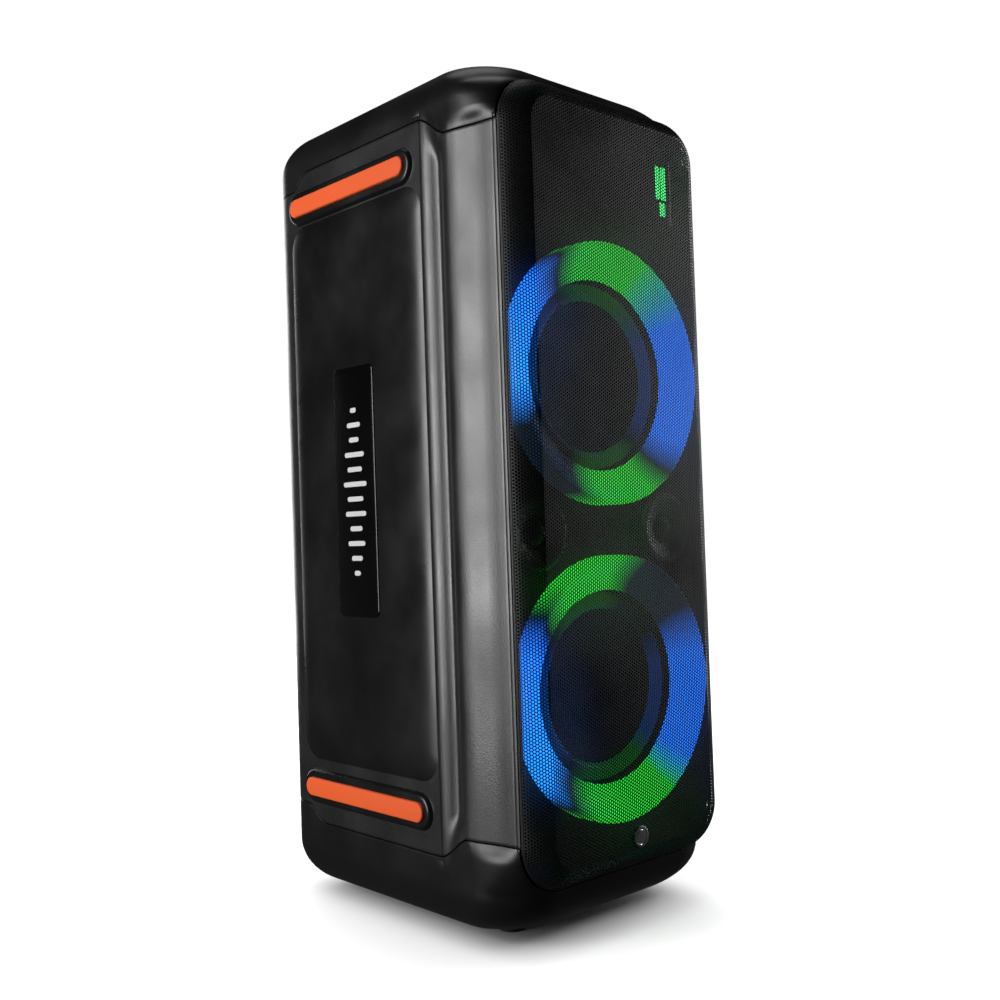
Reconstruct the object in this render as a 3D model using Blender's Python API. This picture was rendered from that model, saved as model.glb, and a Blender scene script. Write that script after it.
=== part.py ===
"""Party speaker: two woofers with light rings and two tweeters in a moulded cabinet.

Metres, +Z up.  The grille faces -Y, and the origin is on the floor under the middle of the
cabinet.  Each sub-part is one closed solid in its own object.  A moving piece has its origin
on its joint axis.
"""
import math

import bmesh
import bpy
from mathutils import Vector

# ---- driving dimensions ----------------------------------------------------------------------
GAP = 0.0004                # play between pieces that meet
WALL = 0.0030               # thickness of the moulded cabinet

HALF_WIDTH = 0.1416         # side faces, without the side feet
REAR_Y = 0.1875
CAP_FRONT_Y = -0.1640       # front face of the two end caps
BASE_Z = 0.0078             # underside of the bottom cap
TOP_Z = 0.8010
SEAM_LOW_Z = 0.0950         # where the side shells meet the end caps
SEAM_HIGH_Z = 0.7330
MIDDLE_Z = (SEAM_LOW_Z + SEAM_HIGH_Z) / 2

SIDE_ROUND = 0.0460         # rounding of the caps' side and rear edges
FRONT_ROUND = 0.0520        # rounding of their front edges
REAR_CORNER = 0.0380        # upright rear corners

GRILLE_FRONT_Y = -0.1860
GRILLE_HALF_WIDTH = 0.1290
GRILLE_LOW_Z = 0.0558
GRILLE_HIGH_Z = 0.7705
GRILLE_CORNER = 0.0440
GRILLE_BEND = 0.0343        # radius of the rolled border
GRILLE_BEND_FROM = math.radians(20)
GRILLE_BEND_TO = math.radians(70)
GRILLE_SHEET = 0.0010

BAFFLE_FRONT_Y = -0.1520
BAFFLE_BACK_Y = -0.1400
BAFFLE_CUT_Y = (-0.1700, -0.1300)               # span of the cutters for its holes
WOOFER_Z = {"upper": 0.5138, "lower": 0.2219}
WOOFER_HOLE = 0.0905
CONE_RADIUS = 0.0705
SURROUND_MIDDLE = 0.0800    # radius of the surround's half roll
SURROUND_ROLL = 0.0080
SURROUND_SKIN = 0.0010
LIGHT_RING_RADIUS = 0.1226
LIGHT_RING_INNER = 0.0900
LIGHT_RING_FRONT_Y = -0.1728
TWEETER_X = 0.088
TWEETER_Z = 0.3680
TWEETER_RADIUS = 0.0350
TWEETER_HOLE = 0.0285
DISPLAY = (0.0660, 0.0980, 0.6640, 0.7320)      # x from, x to, z from, z to
EMBLEM_RADIUS = 0.0095
EMBLEM_Z = 0.0880

PANEL_FRONT_Y = -0.0710     # inset side panel
PANEL_REAR_Y = 0.1450
PANEL_LOW_Z = 0.1430
PANEL_HIGH_Z = 0.6935
BADGE = (0.0055, 0.0709, 0.2911, 0.5362)        # y from, y to, z from, z to
SIDE_FOOT_FROM_Y = -0.0535
SIDE_FOOT_TO_Y = 0.1378
SIDE_FOOT_HALF_HEIGHT = 0.0093
SIDE_FOOT_OFFSET_Z = 0.2990                     # above and below the middle
SIDE_FOOT_FACE = 0.1487
BASE_FOOT_RADIUS = 0.0140
BASE_FOOT_X = 0.070
BASE_FOOT_Y = (-0.085, 0.112)

CONTROL = (-0.0880, 0.0880, -0.1000, -0.0120)   # x from, x to, y from, y to
CONTROL_RIM_Z = 0.8004
CONTROL_FLOOR_Z = 0.7865
CONTROL_FLOOR = 0.0030
CONTROL_CORNER = 0.0080
BUTTONS = ("power", "mode", "previous", "play", "next", "light")
BUTTON_PITCH = 0.0250
BUTTON_Y = -0.0820
BUTTON_HALF = (0.0080, 0.0045)
BUTTON_CORNER = 0.0020
BUTTON_PROUD = 0.0020
BUTTON_DEPTH = 0.0065       # how far a button reaches below the control floor
KNOBS = {"volume_knob": (0.0, 0.0190), "mic_knob": (-0.0550, 0.0110), "echo_knob": (0.0550, 0.0110)}
KNOB_Y = -0.0450
KNOB_TOP_Z = 0.8002
KNOB_SHAFT = 0.0030
KNOB_SHAFT_DEPTH = 0.0090

WELL = (-0.0745, 0.0745, 0.0255, 0.1285)        # recess for the hand, x and y
WELL_FLOOR_Z = 0.7500
WELL_CORNER = 0.0100
HANDLE_Y = (0.0630, 0.0910)
HANDLE_Z = (0.7800, 0.7985)
HANDLE_CORNER = 0.0060

COVER_Y = 0.1855            # outer face of the rear cover
REAR_CUT_Y = (0.1700, 0.2000)                   # span of the cutters for its holes
CONNECTORS = (-0.0700, 0.0700, 0.5900, 0.6800)  # opening in the cover, x and z
CONNECTOR_CORNER = 0.0060
CONNECTOR_PANEL_Y = (0.1795, 0.1825)
JACK_Z = 0.6350
JACK_X = {"mic_jack": -0.0450, "guitar_jack": -0.0150}
JACK_BORE = 0.0033
JACK_HOLE = 0.0080
USB_X = 0.0350
USB_BODY = (0.0085, 0.0045)                     # half width and half height
USB_MOUTH = (0.0062, 0.0026)
PORT_Z = 0.4000
PORT_BORE = 0.0300
PORT_HOLE = 0.0340
INLET_POS = (0.0450, 0.1450)
INLET_BODY = (0.0140, 0.0090)
INLET_MOUTH = (0.0098, 0.0050)
INLET_PIN = 0.0012          # radius
INLET_PIN_OFFSET = 0.0043   # each side of the middle
SWITCH_POS = (-0.0450, 0.1450)
SWITCH_HALF_WIDTH = 0.0075
SWITCH_HOLE = (0.0082, 0.0125)
SWITCH_TILT = math.radians(-7)


# ---- outlines ----------------------------------------------------------------------------------
def arc(cx, cy, rx, ry, start, end, steps):
    """Points along an ellipse arc, angles in degrees."""
    angles = [math.radians(start + (end - start) * i / steps) for i in range(steps + 1)]
    return [(cx + rx * math.cos(a), cy + ry * math.sin(a)) for a in angles]


def rounded_rect(x0, x1, y0, y1, radius, steps=3):
    """Counter-clockwise rounded rectangle."""
    r = radius
    return (arc(x1 - r, y0 + r, r, r, -90, 0, steps) + arc(x1 - r, y1 - r, r, r, 0, 90, steps)
            + arc(x0 + r, y1 - r, r, r, 90, 180, steps) + arc(x0 + r, y0 + r, r, r, 180, 270, steps))


def cap_outline(side_inset, front_inset, spread):
    """Plan of an end cap: tight front corners at the seam (spread 0), round ones at the end (1)."""
    half, front, rear = HALF_WIDTH - side_inset, CAP_FRONT_Y + front_inset, REAR_Y - side_inset
    width = 0.0135 + spread * 0.0315
    depth = 0.0500 - spread * 0.0050
    corner = max(REAR_CORNER - 0.5 * side_inset, 0.004)
    right = (arc(half - width, front + depth, width, depth, -90, 0, 5)
             + arc(half - corner, rear - corner, corner, corner, 0, 90, 4))
    return right + [(-x, y) for x, y in reversed(right)]


def side_outline():
    """Plan of a side shell's outer face on -X, from the grille back to the rear corner."""
    rear_centre = (-HALF_WIDTH + REAR_CORNER, REAR_Y - REAR_CORNER)
    front_lip = [(-0.1300, -0.1640), (-0.1312, -0.1590), (-0.1320, -0.1480)]
    column = [(-0.1358, -0.1390), (-0.1381, -0.1300), (-0.1398, -0.1190), (-0.1404, -0.1070),
              (-0.1385, -0.0975)]
    shoulder = [(-0.1322, -0.0925), (-0.1348, -0.0860), (-0.1398, -0.0785),
                (-HALF_WIDTH, -0.0720)]
    corner = arc(*rear_centre, REAR_CORNER, REAR_CORNER, 180, 90, 5)
    return front_lip + column + shoulder + corner


def thickened(points, thickness):
    """Close an open outline by offsetting it to its right-hand side."""
    inner = []
    for i, (x, y) in enumerate(points):
        ax, ay = points[max(i - 1, 0)]
        bx, by = points[min(i + 1, len(points) - 1)]
        length = math.hypot(bx - ax, by - ay)
        inner.append((x + (by - ay) / length * thickness, y - (bx - ax) / length * thickness))
    return points + inner[::-1]


# ---- solids --------------------------------------------------------------------------------------
PLANES = {"X": lambda u, v, w: (w, u, v), "Y": lambda u, v, w: (u, w, v), "Z": lambda u, v, w: (u, v, w)}


def lofted(rings, closed_ring=False):
    """Skin through rings of equal length; the ends are capped, or joined to each other."""
    bm = bmesh.new()
    loops = [[bm.verts.new(point) for point in ring] for ring in rings]
    count = len(loops[0])
    pairs = list(zip(loops, loops[1:]))
    if closed_ring:
        pairs.append((loops[-1], loops[0]))
    else:
        bm.faces.new(loops[0])
        bm.faces.new(loops[-1])
    for low, high in pairs:
        for i in range(count):
            j = (i + 1) % count
            bm.faces.new((low[i], low[j], high[j], high[i]))
    return bm


def stacked(axis, layers, closed_ring=False):
    """Loft of plane outlines, each given with its place along the axis."""
    place = PLANES[axis]
    return lofted([[place(u, v, w) for u, v in outline] for outline, w in layers], closed_ring)


def prism(axis, outline, low, high):
    return stacked(axis, [(outline, low), (outline, high)])


def block(x0, x1, y0, y1, z0, z1):
    return prism("Z", [(x0, y0), (x1, y0), (x1, y1), (x0, y1)], z0, z1)


def frame_ring(axis, outer, inner, low, high):
    """Closed rim between two outlines of equal length."""
    return stacked(axis, [(outer, low), (outer, high), (inner, high), (inner, low)], closed_ring=True)


def turned(axis, profile, centre, segments=24):
    """Solid of revolution.  The profile is (radius, along) pairs; radius 0 only at its ends."""
    bm = bmesh.new()
    place, (u0, v0) = PLANES[axis], centre
    turn = [2 * math.pi * i / segments for i in range(segments)]
    loops = []
    for radius, along in profile:
        if radius == 0:
            loops.append([bm.verts.new(place(u0, v0, along))])
        else:
            loops.append([bm.verts.new(place(u0 + radius * math.cos(a), v0 + radius * math.sin(a), along))
                          for a in turn])
    pairs = list(zip(loops, loops[1:]))
    if profile[0][0] > 0:
        pairs.append((loops[-1], loops[0]))
    for low, high in pairs:
        for i in range(segments):
            j = (i + 1) % segments
            corners = [low[i % len(low)], low[j % len(low)], high[j % len(high)], high[i % len(high)]]
            bm.faces.new(list(dict.fromkeys(corners)))
    return bm


def rod(axis, radius, low, high, centre, segments=16):
    """Solid cylinder along an axis."""
    return turned(axis, [(0, low), (radius, low), (radius, high), (0, high)], centre, segments)


# ---- objects -------------------------------------------------------------------------------------
def make_material(name, colour, roughness, metallic=0.0):
    material = bpy.data.materials.new(name)
    material.use_nodes = True
    shader = material.node_tree.nodes["Principled BSDF"]
    shader.inputs["Base Color"].default_value = (*colour, 1.0)
    shader.inputs["Roughness"].default_value = roughness
    shader.inputs["Metallic"].default_value = metallic
    return material


def add_object(name, bm, material, origin=(0, 0, 0), sharp_degrees=35):
    """Object from a bmesh in world coordinates, with its origin moved to the given point."""
    bmesh.ops.translate(bm, verts=bm.verts, vec=-Vector(origin))
    bmesh.ops.recalc_face_normals(bm, faces=bm.faces)
    mesh = bpy.data.meshes.new(name)
    bm.to_mesh(mesh)
    bm.free()
    mesh.shade_smooth()
    mesh.set_sharp_from_angle(angle=math.radians(sharp_degrees))
    obj = bpy.data.objects.new(name, mesh)
    obj.location = origin
    if material:
        mesh.materials.append(material)
    bpy.context.scene.collection.objects.link(obj)
    return obj


def combine(target, name, bm, operation="DIFFERENCE"):
    """Cut or join a helper solid, which stays out of the model itself."""
    helper = add_object(name, bm, None)
    helper.hide_render = True
    helper.display_type = "WIRE"
    modifier = target.modifiers.new(name, "BOOLEAN")
    modifier.operation = operation
    modifier.object = helper


# ---- cabinet -------------------------------------------------------------------------------------
def cap_rings(end_z, seam_z, thickness):
    """Rings from the seam to the rounded end, for the outer skin or for one offset inwards."""
    direction = 1 if end_z > seam_z else -1
    end = end_z - direction * thickness
    centre = end_z - direction * SIDE_ROUND
    rise = abs(end - centre)
    layers = [(cap_outline(thickness, thickness, 0.0), seam_z)]
    for step in range(5):
        angle = math.radians(22.5 * step)
        inset = 1 - math.cos(angle)
        outline = cap_outline(thickness + (SIDE_ROUND - thickness) * inset,
                              thickness + (FRONT_ROUND - thickness) * inset, math.sin(angle))
        layers.append((outline, centre + direction * rise * math.sin(angle)))
    return layers


def make_cap(name, end_z, seam_z, material):
    """One end cap: a cup with rounded edges, open towards the cabinet and towards the grille."""
    outer = cap_rings(end_z, seam_z, 0.0)
    inner = cap_rings(end_z, seam_z, WALL)
    cap = add_object(name, stacked("Z", outer[::-1] + inner), material)
    margin = GAP + 0.0002
    opening = rounded_rect(-GRILLE_HALF_WIDTH - margin, GRILLE_HALF_WIDTH + margin,
                           GRILLE_LOW_Z - margin, GRILLE_HIGH_Z + margin, GRILLE_CORNER + margin, 4)
    combine(cap, name + "_grille_opening", prism("Y", opening, -0.2000, BAFFLE_BACK_Y + 0.001))
    return cap


def make_cabinet(plastic, textured, satin, gloss, orange, rubber):
    top = make_cap("top_cap", TOP_Z, SEAM_HIGH_Z, plastic)
    x0, x1, y0, y1 = WELL
    well_box = block(x0 - WALL, x1 + WALL, y0 - WALL, y1 + WALL, WELL_FLOOR_Z - WALL, TOP_Z - 0.001)
    combine(top, "well_walls", well_box, "UNION")
    well = rounded_rect(x0, x1, y0, y1, WELL_CORNER)
    combine(top, "well_recess", prism("Z", well, WELL_FLOOR_Z, TOP_Z + 0.010))
    x0, x1, y0, y1 = CONTROL
    tray = rounded_rect(x0 - GAP, x1 + GAP, y0 - GAP, y1 + GAP, CONTROL_CORNER + GAP)
    combine(top, "control_opening", prism("Z", tray, TOP_Z - 0.020, TOP_Z + 0.010))
    make_cap("bottom_cap", BASE_Z, SEAM_LOW_Z, plastic)

    section = thickened(side_outline(), WALL)
    for side, sign in (("left", -1), ("right", 1)):
        plan = [(-sign * x, y) for x, y in section]
        shell = prism("Z", plan, SEAM_LOW_Z + GAP, SEAM_HIGH_Z - GAP)
        add_object(f"side_shell_{side}", shell, textured)
        make_side_trim(side, sign, satin, gloss, orange)

    for row, y in zip(("front", "rear"), BASE_FOOT_Y):
        for side, sign in (("left", -1), ("right", 1)):
            profile = [(0, 0), (BASE_FOOT_RADIUS - 0.002, 0), (BASE_FOOT_RADIUS, 0.002),
                       (BASE_FOOT_RADIUS, BASE_Z - GAP), (0, BASE_Z - GAP)]
            foot = turned("Z", profile, (sign * BASE_FOOT_X, y), 16)
            add_object(f"base_foot_{row}_{side}", foot, rubber)


def make_side_trim(side, sign, satin, gloss, orange):
    """Inset panel, badge and the two rubber rails that the speaker can lie on."""
    base = HALF_WIDTH + GAP
    layers = []
    for inset, x in ((0.0, base), (0.0, base + 0.0003), (0.010, base + 0.0015), (0.030, base + 0.0025)):
        outline = rounded_rect(PANEL_FRONT_Y + inset, PANEL_REAR_Y - inset, PANEL_LOW_Z + inset,
                               PANEL_HIGH_Z - inset, max(0.022 - inset, 0.004))
        layers.append((outline, sign * x))
    add_object(f"side_panel_{side}", stacked("X", layers), satin)

    face = base + 0.0025 + GAP
    y0, y1, z0, z1 = BADGE
    badge = rounded_rect(y0, y1, z0, z1, 0.008)
    add_object(f"side_badge_{side}", prism("X", badge, sign * face, sign * (face + 0.0009)), gloss)

    r = SIDE_FOOT_HALF_HEIGHT
    for level, offset in (("upper", SIDE_FOOT_OFFSET_Z), ("lower", -SIDE_FOOT_OFFSET_Z)):
        z = MIDDLE_Z + offset
        outline = rounded_rect(SIDE_FOOT_FROM_Y, SIDE_FOOT_TO_Y, z - r, z + r, r, 4)
        crown = rounded_rect(SIDE_FOOT_FROM_Y + 0.001, SIDE_FOOT_TO_Y - 0.001, z - r + 0.001,
                             z + r - 0.001, r - 0.001, 4)
        rail = stacked("X", [(outline, sign * base), (outline, sign * (SIDE_FOOT_FACE - 0.001)),
                             (crown, sign * SIDE_FOOT_FACE)])
        add_object(f"side_foot_{level}_{side}", rail, orange)


# ---- grille and baffle ---------------------------------------------------------------------------
def grille_outline(inset):
    return rounded_rect(-GRILLE_HALF_WIDTH + inset, GRILLE_HALF_WIDTH - inset, GRILLE_LOW_Z + inset,
                        GRILLE_HIGH_Z - inset, GRILLE_CORNER - inset, 4)


def make_grille(metal, plastic, silver):
    """Sheet with a rolled border: flat in front, turned back all round."""
    def skin(bend):
        layers = []
        for step in range(4):
            angle = GRILLE_BEND_TO + (GRILLE_BEND_FROM - GRILLE_BEND_TO) * step / 3
            inset = GRILLE_BEND * math.sin(GRILLE_BEND_TO) - bend * math.sin(angle)
            y = GRILLE_FRONT_Y + GRILLE_BEND * math.cos(GRILLE_BEND_FROM) - bend * math.cos(angle)
            layers.append((grille_outline(inset), y))
        return layers

    outer, inner = skin(GRILLE_BEND), skin(GRILLE_BEND - GRILLE_SHEET)
    add_object("grille", stacked("Y", outer[::-1] + inner), metal)

    rim_back = GRILLE_FRONT_Y + GRILLE_BEND * (math.cos(GRILLE_BEND_FROM) - math.cos(GRILLE_BEND_TO))
    frame = frame_ring("Y", grille_outline(0.0026), grille_outline(0.0052),
                       rim_back + GAP, BAFFLE_FRONT_Y - GAP)
    add_object("grille_frame", frame, plastic)

    emblem = [(0, GRILLE_FRONT_Y - 0.0003), (EMBLEM_RADIUS, GRILLE_FRONT_Y - 0.0003),
              (EMBLEM_RADIUS, GRILLE_FRONT_Y - 0.0012), (EMBLEM_RADIUS - 0.0007, GRILLE_FRONT_Y - 0.0015),
              (0, GRILLE_FRONT_Y - 0.0015)]
    add_object("front_emblem", turned("Y", emblem, (0, EMBLEM_Z), 20), silver)


def make_baffle(plastic, display_glass):
    outline = rounded_rect(-0.1280, 0.1280, GRILLE_LOW_Z + 0.004, GRILLE_HIGH_Z - 0.004, 0.040, 5)
    baffle = add_object("front_baffle", prism("Y", outline, BAFFLE_FRONT_Y, BAFFLE_BACK_Y), plastic)
    for level, z in WOOFER_Z.items():
        combine(baffle, f"{level}_woofer_hole", rod("Y", WOOFER_HOLE, *BAFFLE_CUT_Y, (0, z), 28))
    for side, sign in (("left", -1), ("right", 1)):
        hole = rod("Y", TWEETER_HOLE, *BAFFLE_CUT_Y, (sign * TWEETER_X, TWEETER_Z), 24)
        combine(baffle, f"{side}_tweeter_hole", hole)
    x0, x1, z0, z1 = DISPLAY
    display = rounded_rect(x0, x1, z0, z1, 0.003, 3)
    add_object("display_module", prism("Y", display, -0.1700, BAFFLE_FRONT_Y - GAP), display_glass)


# ---- drivers -------------------------------------------------------------------------------------
def make_woofer(level, z, steel, magnet_black, paper, foam, copper, diffuser):
    """One woofer: basket, magnet with its coil gap, coil, cone, surround and the light ring."""
    back = BAFFLE_BACK_Y + GAP
    basket = [(0.1040, back), (0.1040, back + 0.0035), (0.0895, back + 0.0035), (0.0840, -0.1050),
              (0.0600, -0.0800), (0.0475, -0.0785), (0.0475, -0.0805), (0.0590, -0.0822),
              (0.0818, -0.1065), (0.0865, -0.1345), (0.0865, back)]
    add_object(f"{level}_basket", turned("Y", basket, (0, z)), steel)

    magnet = [(0, -0.0781), (0.0185, -0.0781), (0.0185, -0.0530), (0.0225, -0.0530),
              (0.0225, -0.0781), (0.0600, -0.0781), (0.0600, -0.0450), (0, -0.0450)]
    add_object(f"{level}_magnet", turned("Y", magnet, (0, z)), magnet_black)

    coil = [(0.0198, -0.1075), (0.0210, -0.1075), (0.0210, -0.0640), (0.0198, -0.0640)]
    add_object(f"{level}_voice_coil", turned("Y", coil, (0, z), 20), copper, (0, -0.0900, z))

    cone = [(0, -0.1235), (0.0130, -0.1220), (0.0260, -0.1135), (0.0500, -0.1275),
            (CONE_RADIUS, -0.1405), (CONE_RADIUS, -0.1392), (0.0505, -0.1260), (0.0260, -0.1118),
            (0.0215, -0.1090), (0.0150, -0.1140), (0, -0.1190)]
    add_object(f"{level}_cone", turned("Y", cone, (0, z)), paper, (0, -0.1300, z))

    lip_back, lip_front = -0.1402, -0.1412
    outside = arc(SURROUND_MIDDLE, -0.1410, SURROUND_ROLL, -SURROUND_ROLL, 0, 180, 4)
    under = SURROUND_ROLL - SURROUND_SKIN
    inside = arc(SURROUND_MIDDLE, -0.1410, under, -under, 180, 0, 4)
    outer_edge = SURROUND_MIDDLE + SURROUND_ROLL + 0.0008
    inner_edge = CONE_RADIUS + GAP
    surround = ([(outer_edge, lip_back), (outer_edge, lip_front)] + outside[1:-1]
                + [(inner_edge, lip_front), (inner_edge, lip_back)] + inside[1:-1])
    add_object(f"{level}_surround", turned("Y", surround, (0, z)), foam)

    base = BAFFLE_FRONT_Y - GAP
    ring = [(LIGHT_RING_INNER, base), (LIGHT_RING_INNER, base - 0.0012), (0.1040, base - 0.0050),
            (0.1150, base - 0.0115), (LIGHT_RING_RADIUS - 0.0020, LIGHT_RING_FRONT_Y),
            (LIGHT_RING_RADIUS, LIGHT_RING_FRONT_Y), (LIGHT_RING_RADIUS, base)]
    add_object(f"{level}_light_ring", turned("Y", ring, (0, z), 32), diffuser)


def make_tweeter(side, sign, steel, silk):
    centre = (sign * TWEETER_X, TWEETER_Z)
    face = BAFFLE_FRONT_Y - GAP
    housing = [(0, -0.1490), (0.0155, -0.1490), (0.0155, face - 0.0010), (0.0290, face - 0.0052),
               (TWEETER_RADIUS - 0.001, face - 0.0052), (TWEETER_RADIUS, face - 0.0040),
               (TWEETER_RADIUS, face), (0.0280, face), (0.0280, -0.1250), (0, -0.1250)]
    add_object(f"tweeter_{side}", turned("Y", housing, centre, 20), steel)
    dome = [(0, -0.1494), (0.0150, -0.1494), (0.0150, -0.1504), (0.0130, -0.1510),
            (0.0105, -0.1545), (0.0060, -0.1568), (0, -0.1575)]
    add_object(f"tweeter_dome_{side}", turned("Y", dome, centre, 14), silk)


# ---- top controls and handle -----------------------------------------------------------------------
def make_controls(plastic, button_rubber, knob_black):
    x0, x1, y0, y1 = CONTROL
    rim, floor = WALL, CONTROL_FLOOR_Z
    low = floor - CONTROL_FLOOR
    outer = rounded_rect(x0, x1, y0, y1, CONTROL_CORNER)
    inner = rounded_rect(x0 + rim, x1 - rim, y0 + rim, y1 - rim, CONTROL_CORNER - rim)
    panel = add_object("control_panel",
                       stacked("Z", [(outer, low), (outer, CONTROL_RIM_Z), (inner, CONTROL_RIM_Z),
                                     (inner, floor)]), plastic)
    half_x, half_y = BUTTON_HALF
    for index, label in enumerate(BUTTONS):
        x = BUTTON_PITCH * (index - (len(BUTTONS) - 1) / 2)
        hole = rounded_rect(x - half_x - GAP, x + half_x + GAP, BUTTON_Y - half_y - GAP,
                            BUTTON_Y + half_y + GAP, BUTTON_CORNER + GAP, 2)
        combine(panel, f"{label}_hole", prism("Z", hole, low - 0.005, floor + 0.005))
        outline = rounded_rect(x - half_x, x + half_x, BUTTON_Y - half_y, BUTTON_Y + half_y,
                               BUTTON_CORNER, 2)
        button = prism("Z", outline, floor - BUTTON_DEPTH, floor + BUTTON_PROUD)
        add_object(f"{label}_button", button, button_rubber, (x, BUTTON_Y, floor))
    for name, (x, radius) in KNOBS.items():
        hole = rod("Z", KNOB_SHAFT + GAP, low - 0.005, floor + 0.005, (x, KNOB_Y), 12)
        combine(panel, f"{name}_hole", hole)
        foot = floor - KNOB_SHAFT_DEPTH
        profile = [(0, foot), (KNOB_SHAFT, foot), (KNOB_SHAFT, floor + GAP),
                   (radius, floor + GAP), (radius - 0.001, KNOB_TOP_Z - 0.001),
                   (radius - 0.002, KNOB_TOP_Z), (0, KNOB_TOP_Z)]
        add_object(name, turned("Z", profile, (x, KNOB_Y), 18), knob_black, (x, KNOB_Y, floor))


def make_handle(plastic):
    """Fixed grip across the recess, with room for fingers on both sides and beneath."""
    (y0, y1), (z0, z1) = HANDLE_Y, HANDLE_Z
    section = rounded_rect(y0, y1, z0, z1, HANDLE_CORNER)
    end = WELL[1] - GAP
    add_object("carry_handle", prism("X", section, -end, end), plastic)


# ---- rear ------------------------------------------------------------------------------------------
def make_rear(plastic, textured, gloss, metal):
    half = HALF_WIDTH - REAR_CORNER - 3 * GAP
    cover = add_object("rear_cover", block(-half, half, COVER_Y - WALL, COVER_Y, SEAM_LOW_Z + GAP,
                                           SEAM_HIGH_Z - GAP), textured)
    x0, x1, z0, z1 = CONNECTORS
    opening = rounded_rect(x0, x1, z0, z1, CONNECTOR_CORNER)
    combine(cover, "connector_opening", prism("Y", opening, *REAR_CUT_Y))
    plate = rounded_rect(x0 + GAP, x1 - GAP, z0 + GAP, z1 - GAP, CONNECTOR_CORNER - GAP)
    panel = add_object("connector_panel", prism("Y", plate, *CONNECTOR_PANEL_Y), plastic)

    for name, x in JACK_X.items():
        combine(panel, f"{name}_hole", rod("Y", JACK_HOLE, *REAR_CUT_Y, (x, JACK_Z), 14))
        profile = [(0, 0.1600), (0.0075, 0.1600), (0.0075, 0.1829), (0.0100, 0.1829),
                   (0.0095, 0.1850), (JACK_BORE, 0.1850), (JACK_BORE, 0.1640), (0, 0.1640)]
        add_object(name, turned("Y", profile, (x, JACK_Z), 14), metal)

    def socket(name, target, x, z, body, cavity, back, face, deep):
        """Rectangular socket through a hole in its panel: outer and inner half sizes."""
        (bx, bz), (cx, cz) = body, cavity
        hole = rounded_rect(x - bx - GAP, x + bx + GAP, z - bz - GAP, z + bz + GAP, 0.0014, 2)
        combine(target, f"{name}_hole", prism("Y", hole, *REAR_CUT_Y))
        outline = rounded_rect(x - bx, x + bx, z - bz, z + bz, 0.001, 2)
        mouth = rounded_rect(x - cx, x + cx, z - cz, z + cz, 0.001, 2)
        return add_object(name, stacked("Y", [(outline, back), (outline, face), (mouth, face),
                                              (mouth, face - deep)]), gloss)

    socket("usb_port", panel, USB_X, JACK_Z, USB_BODY, USB_MOUTH, 0.1660, 0.1850, 0.0150)
    x, z = INLET_POS
    inlet = socket("mains_inlet", cover, x, z, INLET_BODY, INLET_MOUTH, 0.1640, 0.1868, 0.0160)
    for label, sign in (("left", -1), ("right", 1)):
        pin = rod("Y", INLET_PIN, 0.1690, 0.1840, (x + sign * INLET_PIN_OFFSET, z), 10)
        combine(inlet, f"inlet_pin_{label}", pin, "UNION")

    x, z = SWITCH_POS
    half_x, half_z = SWITCH_HOLE
    hole = rounded_rect(x - half_x, x + half_x, z - half_z, z + half_z, 0.001, 2)
    combine(cover, "switch_hole", prism("Y", hole, *REAR_CUT_Y))
    rocker = [(0.1760, z - 0.0060), (0.1850, z - 0.0110), (0.1850, z - 0.0095), (0.1836, z),
              (0.1850, z + 0.0095), (0.1850, z + 0.0110), (0.1760, z + 0.0060)]
    switch = add_object("mains_switch", prism("X", rocker, x - SWITCH_HALF_WIDTH, x + SWITCH_HALF_WIDTH),
                        gloss, (x, 0.1800, z))
    switch.rotation_euler.x = SWITCH_TILT

    combine(cover, "port_hole", rod("Y", PORT_HOLE, *REAR_CUT_Y, (0, PORT_Z), 24))
    outer = PORT_BORE + WALL
    port = [(PORT_BORE, 0.0950), (outer, 0.0950), (outer, COVER_Y + GAP), (0.0440, COVER_Y + GAP),
            (0.0430, COVER_Y + 0.0018), (0.0370, 0.1868), (0.0325, 0.1820), (PORT_BORE, 0.1720)]
    add_object("port_tube", turned("Y", port, (0, PORT_Z), 20), plastic)


# ---- electronics -----------------------------------------------------------------------------------
def make_electronics(board_green, aluminium, battery_blue):
    amp = add_object("amp_board", block(-0.060, 0.060, 0.1500, 0.1516, 0.590, 0.700), board_green)
    combine(amp, "amp_capacitor", rod("Y", 0.008, 0.135, 0.151, (0.045, 0.605)), "UNION")
    combine(amp, "amp_posts", block(-0.010, 0.030, 0.1510, 0.1590, 0.662, 0.690), "UNION")

    fins, pitch, fin, low = 7, 0.0130, 0.0030, -0.0520
    outline = [(low, 0.1496)]
    for index in range(fins):
        x = low + pitch * index
        outline += [(x, 0.1330), (x, 0.1100), (x + fin, 0.1100), (x + fin, 0.1330)]
    outline.append((low + pitch * (fins - 1) + fin, 0.1496))
    add_object("heat_sink", prism("Z", outline, 0.615, 0.695), aluminium)

    supply = add_object("power_supply", block(-0.080, 0.080, 0.1400, 0.1416, 0.110, 0.220), board_green)
    combine(supply, "supply_transformer", block(-0.060, -0.015, 0.105, 0.141, 0.135, 0.180), "UNION")
    for index, x in enumerate((0.015, 0.045)):
        combine(supply, f"supply_can_{index}", rod("Y", 0.011, 0.108, 0.141, (x, 0.190)), "UNION")

    pack = rounded_rect(-0.075, 0.075, -0.045, 0.055, 0.008)
    add_object("battery_pack", prism("Z", pack, BASE_Z + WALL + GAP, 0.0760), battery_blue)


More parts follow.
